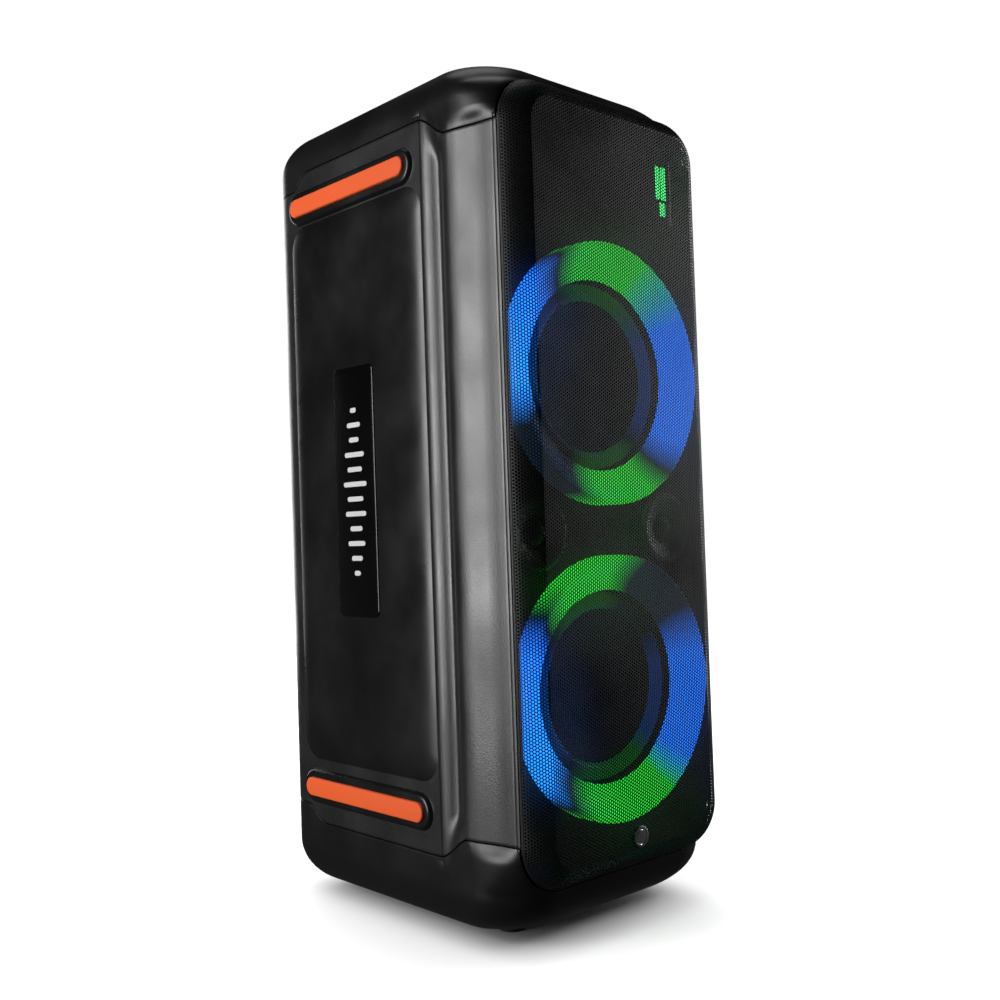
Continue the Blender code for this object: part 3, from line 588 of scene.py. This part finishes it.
# ---- side panel, badge, rails ----------------------------------------------------------------------
def make_side_details():
    _, _, y0, y1, z0, z1 = span("side_panel_left")
    layers = [(rounded_rect(y0, y1, z0, z1, PANEL_CORNER, 12), -PAD_X + 0.0004)]
    for inset in PANEL_INSETS:
        rise = PANEL_RISE * (1 - (1 - min(inset / PANEL_EDGE, 1)) ** PANEL_STEEPNESS)
        outline = rounded_rect(y0 + inset, y1 - inset, z0 + inset, z1 - inset, PANEL_CORNER - 0.4 * inset, 12)
        layers.append((outline, -PAD_X - rise))
    both_sides(stacked("panel", "X", layers), "side_panel", SATIN_PLASTIC, ["side_panel_{}"])

    x0, x1, y0, y1, z0, z1 = span("side_badge_left")
    face = x0 - 0.0001
    profile = [(0.0, x1 + 0.0012), (0.0, face + 0.0005), (0.00015, face + 0.0002), (0.0005, face)]
    badge = stacked("badge", "X", [(rounded_rect(y0 + g, y1 - g, z0 + g, z1 - g, 0.0080 - g, 12), w)
                                   for g, w in profile])
    both_sides(badge, "side_badge", GLOSS_PLASTIC, ["side_badge_{}"])
    make_badge_mark(face, (y0 + y1) / 2, (z0 + z1) / 2)

    grow = BOSS_MARGIN
    for level in ("upper", "lower"):
        top, _, y0, y1, z0, z1 = span(f"side_foot_{level}_left")
        half, z = (z1 - z0) / 2, (z0 + z1) / 2
        profile = [(-0.0016, 0.0006), (-0.0010, -0.0002), (-0.0003, -0.0012), (0.0004, -0.0024),
                   (0.0012, -0.0034), (0.0024, -0.0039), (0.0040, -0.0040)]
        boss = stacked("boss", "X", [(rounded_rect(y0 - grow + g, y1 + grow - g, z - half - grow + g,
                                                   z + half + grow - g, half + grow - g, 16), -PAD_X + w)
                                     for g, w in profile])
        both_sides(boss, f"side_boss_{level}", SATIN_PLASTIC, sharp=0)
        profile = [(0.0, -PAD_X - 0.0030), (0.0, top + 0.0016), (0.0003, top + 0.0008),
                   (0.0009, top + 0.0002), (0.0018, top)]
        rail = stacked("rail", "X", [(rounded_rect(y0 + g, y1 - g, z0 + g, z1 - g, half - g, 16), w)
                                     for g, w in profile])
        both_sides(rail, f"side_foot_{level}", ORANGE_RUBBER, [f"side_foot_{level}_{{}}"],
                   sharp=50)


def make_badge_mark(face, y, z):
    """Generic sound-level bars up the badge."""
    widths = (0.010, 0.018, 0.028, 0.020, 0.034, 0.026, 0.038, 0.024, 0.032, 0.016, 0.022, 0.010)
    pitch, half = 0.0145, 0.0024
    bars = []
    for index, width in enumerate(widths):
        middle = z + pitch * (index - (len(widths) - 1) / 2)
        bars.append(rounded_rect(y - width / 2, y + width / 2, middle - half, middle + half, half, 6))
    mark = raised_signs("mark", "X", bars, (face + 0.0001, face - 0.00025))
    both_sides(mark, "badge_mark", MARKING)


# ---- grille ----------------------------------------------------------------------------------------
def formed(points):
    """Bend points of the flat sheet (x, z, depth) over the grille's rolled border."""
    x0, x1, y_front, _, z0, z1 = span("grille")
    inset = GRILLE_BEND * (math.sin(BEND_TO) - math.sin(BEND_FROM))
    cx, cz = (x0 + x1) / 2, (z0 + z1) / 2
    radius = GRILLE_CORNER - inset
    core_x, core_z = (x1 - x0) / 2 - inset - radius, (z1 - z0) / 2 - inset - radius
    px, pz = points[:, 0] - cx, points[:, 1] - cz
    nx, nz = np.clip(px, -core_x, core_x), np.clip(pz, -core_z, core_z)
    dx, dz = px - nx, pz - nz
    distance = np.maximum(np.hypot(dx, dz), 1e-9)
    beyond = np.maximum(distance - radius, 0)
    angle = BEND_FROM + beyond / GRILLE_BEND
    reach = GRILLE_BEND * (np.sin(angle) - math.sin(BEND_FROM))
    back = GRILLE_BEND * (math.cos(BEND_FROM) - np.cos(angle))
    outside = beyond > 0
    tilt = np.where(outside, angle, 0)
    out_x, out_z = dx / distance, dz / distance
    depth = points[:, 2]
    along = np.where(outside, radius + reach - depth * np.sin(tilt), distance)
    x = cx + nx + out_x * along
    z = cz + nz + out_z * along
    y = y_front + np.where(outside, back + depth * np.cos(tilt), depth)
    return np.stack([x, y, z], 1), beyond


def make_grille():
    """Perforated sheet: a lattice of hexagon cells, each with its hole, formed over the border."""
    x0, x1, _, _, z0, z1 = span("grille")
    developed = GRILLE_BEND * (BEND_TO - BEND_FROM)
    grow = developed - GRILLE_BEND * (math.sin(BEND_TO) - math.sin(BEND_FROM))
    columns = int((x1 - x0 + 2 * grow) / 2 / (HOLE_PITCH * math.sqrt(3) / 2)) + 1
    rows = int((z1 - z0 + 2 * grow) / 2 / HOLE_PITCH) + 1
    centres = []
    for column in range(-columns, columns + 1):
        shift = 0.5 if column % 2 else 0.0
        for row in range(-rows, rows + 1):
            centres.append(((x0 + x1) / 2 + column * HOLE_PITCH * math.sqrt(3) / 2,
                            (z0 + z1) / 2 + (row + shift) * HOLE_PITCH))
    centres = np.array(centres)
    probe = np.column_stack([centres, np.zeros(len(centres))])
    centres = centres[formed(probe)[1] < developed - 0.0002]

    turn = np.radians(np.arange(6) * 60)
    cell = HOLE_PITCH / math.sqrt(3)
    corner = np.stack([np.cos(turn), np.sin(turn)], 1)
    edges = np.linspace(centres[:, 1].min() - 0.001, centres[:, 1].max() + 0.001, GRILLE_PARTS + 1)
    for part in range(GRILLE_PARTS):
        inside = (centres[:, 1] >= edges[part]) & (centres[:, 1] < edges[part + 1])
        own = centres[inside]
        count = len(own)
        flat = []
        for radius, depth in ((cell, 0.0), (HOLE_RADIUS, 0.0), (HOLE_RADIUS, SHEET)):
            ring = own[:, None, :] + corner[None] * radius
            flat.append(np.concatenate([ring, np.full((count, 6, 1), depth)], 2))
        flat = np.stack(flat, 1).reshape(-1, 3)
        verts, _ = formed(flat)
        base = np.arange(count)[:, None] * 18
        i, j = np.arange(6), (np.arange(6) + 1) % 6
        quads = []
        for ring in (0, 6):
            quads.append(np.stack([base + ring + i, base + ring + j, base + ring + 6 + j,
                                   base + ring + 6 + i], 2).reshape(-1, 4))
        quads = np.concatenate(quads)
        mesh = bpy.data.meshes.new(f"grille_sheet_{part + 1}")
        mesh.vertices.add(len(verts))
        mesh.vertices.foreach_set("co", verts.astype(np.float32).ravel())
        mesh.loops.add(quads.size)
        mesh.loops.foreach_set("vertex_index", quads.astype(np.int32).ravel())
        mesh.polygons.add(len(quads))
        mesh.polygons.foreach_set("loop_start", np.arange(0, quads.size, 4, dtype=np.int32))
        mesh.update(calc_edges=True)
        sheet = bpy.data.objects.new(mesh.name, mesh)
        bpy.context.scene.collection.objects.link(sheet)
        place(sheet, GRILLE_METAL, replaced=["grille"], sharp=40)

    rim_y = span("grille")[3]
    layers = [(grille_outline(0.0006 + g, 24), rim_y - 0.0022 + w * 1.6) for g, w in
              ((0.0, 0.0), (-0.0004, 0.0003), (-0.0004, 0.0016), (0.0012, 0.0016), (0.0012, 0.0))]
    rim = stacked("grille_rim", "Y", layers, loop=True)
    place(rim, GRILLE_METAL)


def make_emblem():
    x0, x1, y0, y1, z0, z1 = span("front_emblem")
    radius, z = (x1 - x0) / 2, (z0 + z1) / 2
    profile = [(0, y1), (radius, y1), (radius, y0 + 0.0007), (radius - 0.0003, y0 + 0.0002),
               (radius - 0.0010, y0), (radius - 0.0022, y0), (radius - 0.0026, y0 + 0.0004),
               (radius - 0.0032, y0 + 0.0004), (radius - 0.0036, y0), (0, y0 - 0.0002)]
    place(turned("front_emblem_disc", "Y", profile, (0, z), 72), SILVER, replaced=["front_emblem"])


# ---- drivers ---------------------------------------------------------------------------------------
GREEN, BLUE, CYAN = (0.01, 0.50, 0.02), (0.01, 0.17, 1.00), (0.01, 0.24, 0.95)
TEAL, DIM = (0.01, 0.30, 0.42), (0.003, 0.008, 0.016)
RING_STOPS = {
    "upper": ((0.00, GREEN), (0.07, GREEN), (0.13, TEAL), (0.17, BLUE), (0.34, BLUE), (0.39, DIM),
              (0.43, GREEN), (0.52, GREEN), (0.57, DIM), (0.68, DIM), (0.73, CYAN), (0.86, BLUE),
              (0.91, DIM), (0.955, GREEN)),
    "lower": ((0.00, GREEN), (0.05, DIM), (0.15, DIM), (0.22, BLUE), (0.36, BLUE), (0.41, GREEN),
              (0.55, GREEN), (0.60, DIM), (0.65, CYAN), (0.80, BLUE), (0.85, DIM), (0.90, GREEN)),
}


def make_woofer(level):
    x0, x1, y0, y1, z0, z1 = span(f"{level}_light_ring")
    z, outer = (z0 + z1) / 2, (x1 - x0) / 2
    inner = RING_INNER
    face = [(inner, y1 - 0.0010)]
    for t in np.linspace(0, 1, 14):
        face.append((inner + 0.001 + (outer - 0.0045 - inner) * t,
                     y1 - 0.0012 - (y1 - y0 - 0.0014) * t ** 1.7))
    profile = [(inner, y1)] + face + [(outer - 0.0022, y0), (outer - 0.0006, y0 + 0.0003),
                                      (outer, y0 + 0.0012), (outer, y1)]
    ring = turned(f"{level}_light_ring_skin", "Y", profile, (0, z), 128, loop=True)
    glow = ring_light(f"{level}_ring_glow", z, RING_STOPS[level], RING_GLOW)
    place(ring, glow, replaced=[f"{level}_light_ring"], sharp=40)

    surround_y = span(f"{level}_surround")[2]
    back, under_roll = surround_y + SURROUND_ROLL, SURROUND_ROLL - SURROUND_SKIN
    roll = [(SURROUND_MIDDLE + SURROUND_ROLL * math.cos(a), back - SURROUND_ROLL * math.sin(a))
            for a in np.linspace(0, math.pi, 17)]
    under = [(SURROUND_MIDDLE + under_roll * math.cos(a), back - under_roll * math.sin(a))
             for a in np.linspace(math.pi, 0, 17)]
    surround = turned(f"{level}_surround_skin", "Y", roll + under, (0, z), 96, loop=True)
    # painted light: the rubber is no lamp, and this emission paints the ring's light onto it
    painted_spill = ring_light(f"{level}_surround_painted_glow", z, RING_STOPS[level], PAINTED_SPILL_GLOW)
    place(surround, painted_spill, replaced=[f"{level}_surround"])

    body = f"{level}_cone_body"
    cone = [(0.0, -0.1235), (0.006, -0.1233), (0.013, -0.1224), (0.019, -0.1198), (0.0235, -0.1160),
            (0.0260, -0.1138), (0.0272, -0.1146), (0.0380, -0.1213), (0.0500, -0.1280), (0.0512, -0.1294),
            (0.0526, -0.1293), (0.0620, -0.1345), (0.0690, -0.1392), (0.0705, -0.1402), (0.0705, -0.1390),
            (0.0620, -0.1330), (0.0500, -0.1262), (0.0380, -0.1196), (0.0262, -0.1118), (0.0215, -0.1092),
            (0.0150, -0.1142), (0.0, -0.1192)]
    place(turned(f"{level}_cone_skin", "Y", cone, (0, z), 96), CONE_PAPER, body,
          [f"{level}_cone"], 40)


def make_tweeter(side):
    x0, x1, y0, y1, z0, z1 = span(f"tweeter_{side}")
    centre, radius = ((x0 + x1) / 2, (z0 + z1) / 2), (x1 - x0) / 2
    face = y0
    housing = [(0, y0 + 0.0076), (0.0155, y0 + 0.0076), (0.0158, y0 + 0.0046), (0.0175, y0 + 0.0040),
               (0.0215, y0 + 0.0026), (0.0260, y0 + 0.0010), (0.0290, face), (radius - 0.0016, face),
               (radius - 0.0004, face + 0.0004), (radius, face + 0.0014), (radius, face + 0.0052),
               (0.0280, face + 0.0052), (0.0280, y1), (0, y1)]
    place(turned(f"tweeter_{side}_skin", "Y", housing, centre, 72), STEEL, replaced=[f"tweeter_{side}"])
    _, _, y0, y1, _, _ = span(f"tweeter_dome_{side}")
    dome = [(0, y1), (0.0150, y1), (0.0150, y1 - 0.0006)]
    dome += [(0.0140 + 0.0009 * math.cos(a), y1 - 0.0006 - 0.0011 * math.sin(a))
             for a in np.linspace(0.3, math.pi - 0.3, 7)]
    dome += [(0.0128 * math.cos(a), y1 - 0.0008 - (y1 - y0 - 0.0008) * math.sin(a))
             for a in np.linspace(0.05, math.pi / 2, 12)]
    place(turned(f"tweeter_dome_{side}_skin", "Y", dome, centre, 64), SURROUND,
          replaced=[f"tweeter_dome_{side}"])


def make_display():
    """Dark window with the lit part of its read-out and a small power light."""
    x0, x1, y0, y1, z0, z1 = span("display_module")
    profile = [(0.0, y1), (0.0, y0 + 0.0008), (0.0003, y0 + 0.0002), (0.0009, y0)]
    window = stacked("display_window", "Y", [(rounded_rect(x0 + g, x1 - g, z0 + g, z1 - g, 0.003), w)
                                             for g, w in profile])
    place(window, GLOSS_PLASTIC, replaced=["display_module"])
    green = lit("display_green", (0.03, 0.85, 0.16), 3.2)
    blocks = ((0.0749, 0.0815, 0.6906, 0.7235), (0.0838, 0.0903, 0.6906, 0.7235),
              (0.0797, 0.0890, 0.6745, 0.6880))
    for index, (a, b, c, d) in enumerate(blocks):
        layers = [(rounded_rect(a, b, c, d, 0.0012), y0 + 0.0002),
                  (rounded_rect(a + 0.0002, b - 0.0002, c + 0.0002, d - 0.0002, 0.0010), y0 - 0.0004)]
        place(stacked(f"display_segment_{index + 1}", "Y", layers), green)
    dot = rounded_rect(0.1072, 0.1088, 0.7382, 0.7398, 0.0008, 5)
    lamp = stacked("power_light", "Y", [(dot, BAFFLE_Y), (dot, BAFFLE_Y - 0.0008)])
    place(lamp, lit("power_white", (0.9, 0.9, 0.9), 4.0))


# ---- top -------------------------------------------------------------------------------------------
def make_top():
    x0, x1, y0, y1 = WELL
    rim = TOP_Z - 0.0012
    profile = [(-0.0030, rim), (-0.0004, rim), (0.0, rim - 0.0004), (0.0, WELL_FLOOR_Z + 0.0080)]
    profile += [(0.0080 * (1 - math.cos(a)), WELL_FLOOR_Z + 0.0080 - 0.0080 * math.sin(a))
                for a in np.linspace(0.2, math.pi / 2, 7)]
    layers = [(rounded_rect(x0 + g, x1 - g, y0 + g, y1 - g, WELL_CORNER - min(g, 0.006), 10), w)
              for g, w in profile]
    outside = [(rounded_rect(x0 - 0.003, x1 + 0.003, y0 - 0.003, y1 + 0.003, 0.012, 10), w)
               for w in (WELL_FLOOR_Z - 0.003, rim)]
    liner = stacked("hand_well_liner", "Z", layers[::-1] + outside[::-1])
    place(liner, CAP_PLASTIC)

    x0, x1, y0, y1, z0, z1 = span("carry_handle")
    rings = []
    for t in np.linspace(-1, 1, 41):
        flare = 0.0024 * abs(t) ** 8
        outline = rounded_rect(y0 - flare, y1 + flare, z0 - flare, z1, 0.0075, 8)
        rings.append([(x1 * t, u, v) for u, v in outline])
    place(lofted("carry_handle_grip", rings), CAP_PLASTIC, replaced=["carry_handle"])
    rings = []
    for t in np.linspace(-1, 1, 31):
        swell = 0.0006 * (1 - t ** 6)
        outline = rounded_rect(y0 + 0.003, y1 - 0.003, z1 - 0.0030, z1 + swell, 0.0012, 4)
        rings.append([(0.056 * t, u, v) for u, v in outline])
    place(lofted("carry_handle_insert", rings), BLACK_RUBBER)
    make_knobs()
    make_buttons()


def make_knobs():
    for name in ("volume_knob", "mic_knob", "echo_knob"):
        x0, x1, y0, y1, z0, z1 = span(name)
        centre, radius = ((x0 + x1) / 2, (y0 + y1) / 2), (x1 - x0) / 2
        teeth = 48 if radius > 0.015 else 30
        floor = span("control_panel")[5] - 0.0139

        def knurl(a, along, teeth=teeth, floor=floor, top=z1):
            grip = floor + 0.0024 < along < top - 0.0012
            return 1 - (0.030 if grip else 0.0) * (0.5 + 0.5 * math.cos(teeth * a))

        profile = [(0, z0), (0.0030, z0), (0.0030, floor + 0.0005), (radius, floor + 0.0005),
                   (radius, floor + 0.0020), (radius - 0.0002, floor + 0.0026),
                   (radius - 0.0004, z1 - 0.0016), (radius - 0.0009, z1 - 0.0008),
                   (radius - 0.0017, z1 - 0.0001), (radius - 0.0026, z1 - 0.0001),
                   (radius - 0.0034, z1 - 0.0006), (0, z1 - 0.0010)]
        knob = turned(f"{name}_cap", "Z", profile, centre, teeth * 6, wobble=knurl)
        place(knob, GLOSS_PLASTIC, f"{name}_body", [name])
        length = radius * 0.42
        tip = centre[1] + radius - 0.0046
        layers = [(rounded_rect(centre[0] - 0.0007, centre[0] + 0.0007, tip - length, tip, 0.0007, 5), w)
                  for w in (z1 - 0.0012, z1 - 0.0004)]
        place(stacked(f"{name}_pointer", "Z", layers), MARKING, f"{name}_body")


GLYPHS = {"power": "ring", "mode": "bars", "previous": "back", "play": "play", "next": "forward",
          "light": "dot"}


def glyph_shapes(kind):
    """Simple button signs as outlines in millimetres."""
    wedge = [(-1.2, -1.3), (1.2, 0.0), (-1.2, 1.3)]
    if kind == "play":
        return [wedge]
    if kind == "forward":
        return [[(x - 0.6, y) for x, y in wedge], rounded_rect(0.9, 1.5, -1.3, 1.3, 0.1, 2)]
    if kind == "back":
        return [[(0.6 - x, y) for x, y in wedge][::-1], rounded_rect(-1.5, -0.9, -1.3, 1.3, 0.1, 2)]
    if kind == "bars":
        return [rounded_rect(-1.6, 1.6, y - 0.22, y + 0.22, 0.2, 2) for y in (-1.0, 0.0, 1.0)]
    if kind == "dot":
        spokes = [[(1.0 * math.cos(a) - 0.15 * math.sin(a), 1.0 * math.sin(a) + 0.15 * math.cos(a)),
                   (1.0 * math.cos(a) + 0.15 * math.sin(a), 1.0 * math.sin(a) - 0.15 * math.cos(a)),
                   (1.6 * math.cos(a) + 0.15 * math.sin(a), 1.6 * math.sin(a) - 0.15 * math.cos(a)),
                   (1.6 * math.cos(a) - 0.15 * math.sin(a), 1.6 * math.sin(a) + 0.15 * math.cos(a))]
                  for a in np.radians(np.arange(0, 360, 45))]
        return [arc(0, 0, 0.6, 0.6, 0, 345, 23)] + spokes
    ring = arc(0, 0, 1.4, 1.4, 120, 420, 20) + arc(0, 0, 1.05, 1.05, 420, 120, 20)
    return [ring, rounded_rect(-0.18, 0.18, 0.5, 1.8, 0.1, 2)]


def make_buttons():
    for label, kind in GLYPHS.items():
        x0, x1, y0, y1, z0, z1 = span(f"{label}_button")
        profile = [(0.0, z0), (0.0, z1 - 0.0009), (0.0002, z1 - 0.0004), (0.0007, z1 - 0.0001), (0.0014, z1)]
        layers = [(rounded_rect(x0 + g, x1 - g, y0 + g, y1 - g, 0.0020 - 0.6 * g, 6), w) for g, w in profile]
        body = f"{label}_button_body"
        place(stacked(f"{label}_button_key", "Z", layers), BLACK_RUBBER, body, [f"{label}_button"])
        signs = [[((x0 + x1) / 2 + u / 1000, (y0 + y1) / 2 + v / 1000) for u, v in outline]
                 for outline in glyph_shapes(kind)]
        sign = raised_signs(f"{label}_button_sign", "Z", signs, (z1 - 0.0001, z1 + 0.00015))
        place(sign, MARKING, body)


# ---- rear and base ---------------------------------------------------------------------------------
def make_base_feet():
    for row in ("front", "rear"):
        for side in ("left", "right"):
            name = f"base_foot_{row}_{side}"
            x0, x1, y0, y1, z0, z1 = span(name)
            r = (x1 - x0) / 2
            profile = [(0, z0), (r - 0.0050, z0), (r - 0.0044, z0 + 0.0006), (r - 0.0036, z0 + 0.0006),
                       (r - 0.0030, z0), (r - 0.0016, z0), (r - 0.0005, z0 + 0.0006), (r, z0 + 0.0018),
                       (r, z1), (0, z1)]
            place(turned(f"{name}_pad", "Z", profile, ((x0 + x1) / 2, (y0 + y1) / 2), 56), BLACK_RUBBER,
                  replaced=[name])


def make_screws():
    """Cross-head screws that hold the rear cover."""
    for index, (x, z) in enumerate((sx * (COVER_HALF - 0.009), zz) for sx in (-1, 1)
                                   for zz in (0.115, 0.270, 0.414, 0.560, 0.712)):
        dome = [(0, COVER_Y - 0.0006), (0.0034, COVER_Y - 0.0006), (0.0034, COVER_Y + 0.0004),
                (0.0030, COVER_Y + 0.0009), (0.0020, COVER_Y + 0.0013), (0, COVER_Y + 0.0014)]
        screw = turned(f"cover_screw_{index + 1}", "Y", dome, (x, z), 32)
        for wide, tall in ((0.0019, 0.00045), (0.00045, 0.0019)):
            outline = rounded_rect(x - wide, x + wide, z - tall, z + tall, 0.0002, 2)
            cut(screw, stacked("slot", "Y", [(outline, COVER_Y + w) for w in (0.0005, 0.0030)]))
        place(screw, STEEL)


# ---- carried-over CAD nodes ------------------------------------------------------------------------
CARRIED = {
    DARK_PLASTIC: ("grille_frame", "front_baffle"),
    CAP_PLASTIC: ("control_panel", "connector_panel", "port_tube"),
    SHELL_PLASTIC: ("rear_cover",),
    GLOSS_PLASTIC: ("usb_port", "mains_inlet", "mains_switch"),
    STEEL: ("mic_jack", "guitar_jack", "upper_basket", "lower_basket"),
    FERRITE: ("upper_magnet", "lower_magnet"),
    COPPER: ("upper_voice_coil", "lower_voice_coil"),
    BOARD: ("amp_board", "power_supply"),
    ALUMINIUM: ("heat_sink",),
    SLEEVE: ("battery_pack",),
}


def dress_carried_nodes():
    for material, names in CARRIED.items():
        for name in names:
            node = NODES[name]
            for index in range(len(node.material_slots)):
                node.material_slots[index].material = material


# ---- camera, floor and light -----------------------------------------------------------------------
def make_camera():
    yaw, pitch, roll = CAMERA_YAW, CAMERA_PITCH, CAMERA_ROLL
    forward = Vector((math.sin(yaw) * math.cos(pitch), math.cos(yaw) * math.cos(pitch), math.sin(pitch)))
    right = Vector((math.cos(yaw), -math.sin(yaw), 0))
    up = right.cross(forward)
    turned_right = math.cos(roll) * right + math.sin(roll) * up
    turned_up = math.cos(roll) * up - math.sin(roll) * right
    data = bpy.data.cameras.new("camera")
    data.lens, data.sensor_width = LENS, 36.0
    data.clip_start, data.clip_end = 0.01, 50
    camera = bpy.data.objects.new("camera", data)
    bpy.context.scene.collection.objects.link(camera)
    camera.matrix_world = Matrix.Translation(CAMERA_AT) @ Matrix(
        (turned_right, turned_up, -forward)).transposed().to_4x4()
    bpy.context.scene.camera = camera


def softbox(name, at, aim, size, power):
    """Rectangular area light, never seen itself."""
    data = bpy.data.lights.new(name, "AREA")
    data.shape, data.size, data.size_y, data.energy = "RECTANGLE", size[0], size[1], power
    light = bpy.data.objects.new(name, data)
    bpy.context.scene.collection.objects.link(light)
    light.location = at
    light.rotation_mode = "QUATERNION"
    light.rotation_quaternion = (Vector(aim) - Vector(at)).to_track_quat("-Z", "Y")
    light.visible_camera = False


def make_floor():
    """Pale floor out to the horizon, with its own wide sun, so that the plastic can stay dark."""
    half = FLOOR_SIZE / 2
    floor = mesh_object("floor", [(-half, -half, 0), (half, -half, 0), (half, half, 0), (-half, half, 0)],
                        [(0, 1, 2, 3)])
    pale = Surface("pale_floor", (0.82, 0.82, 0.82), 0.90, spread=0.01, bump=0.0)
    floor.data.materials.append(pale.material)
    floor.visible_glossy = floor.visible_diffuse = floor.visible_shadow = False
    receivers = bpy.data.collections.new("floor_light_receivers")
    receivers.objects.link(floor)
    data = bpy.data.lights.new("floor_sun", "SUN")
    data.energy, data.angle = FLOOR_SUN
    sun = bpy.data.objects.new("floor_sun", data)
    bpy.context.scene.collection.objects.link(sun)
    sun.light_linking.receiver_collection = receivers


def make_world():
    """White backdrop for the eye, and a dim room with a paler floor side for the object."""
    world = bpy.data.worlds.new("world")
    bpy.context.scene.world = world
    world.use_nodes = True
    nodes, links = world.node_tree.nodes, world.node_tree.links
    room = nodes["Background"]
    height = nodes.new("ShaderNodeSeparateXYZ")
    links.new(nodes.new("ShaderNodeTexCoord").outputs["Generated"], height.inputs["Vector"])
    ramp = nodes.new("ShaderNodeMapRange")
    for socket, value in zip(("From Min", "From Max", "To Min", "To Max"), (*ROOM_TURN, *ROOM_GLOW)):
        ramp.inputs[socket].default_value = value
    links.new(height.outputs["Z"], ramp.inputs["Value"])
    links.new(ramp.outputs["Result"], room.inputs["Strength"])
    backdrop = nodes.new("ShaderNodeBackground")
    backdrop.inputs["Color"].default_value = (1, 1, 1, 1)
    backdrop.inputs["Strength"].default_value = BACKDROP
    mix = nodes.new("ShaderNodeMixShader")
    links.new(nodes.new("ShaderNodeLightPath").outputs["Is Camera Ray"], mix.inputs["Fac"])
    links.new(room.outputs["Background"], mix.inputs[1])
    links.new(backdrop.outputs["Background"], mix.inputs[2])
    links.new(mix.outputs["Shader"], nodes["World Output"].inputs["Surface"])


def make_stage():
    make_floor()
    make_world()
    for name, (at, aim, size, power) in SOFTBOXES.items():
        softbox(f"{name}_softbox", at, aim, size, power)
    bpy.context.scene.view_settings.view_transform = "Standard"


def main():
    make_camera()
    make_stage()
    make_caps()
    make_side_shells()
    make_side_details()
    make_grille()
    make_emblem()
    for level in ("upper", "lower"):
        make_woofer(level)
    for side in ("left", "right"):
        make_tweeter(side)
    make_display()
    make_top()
    make_base_feet()
    make_screws()
    dress_carried_nodes()


main()
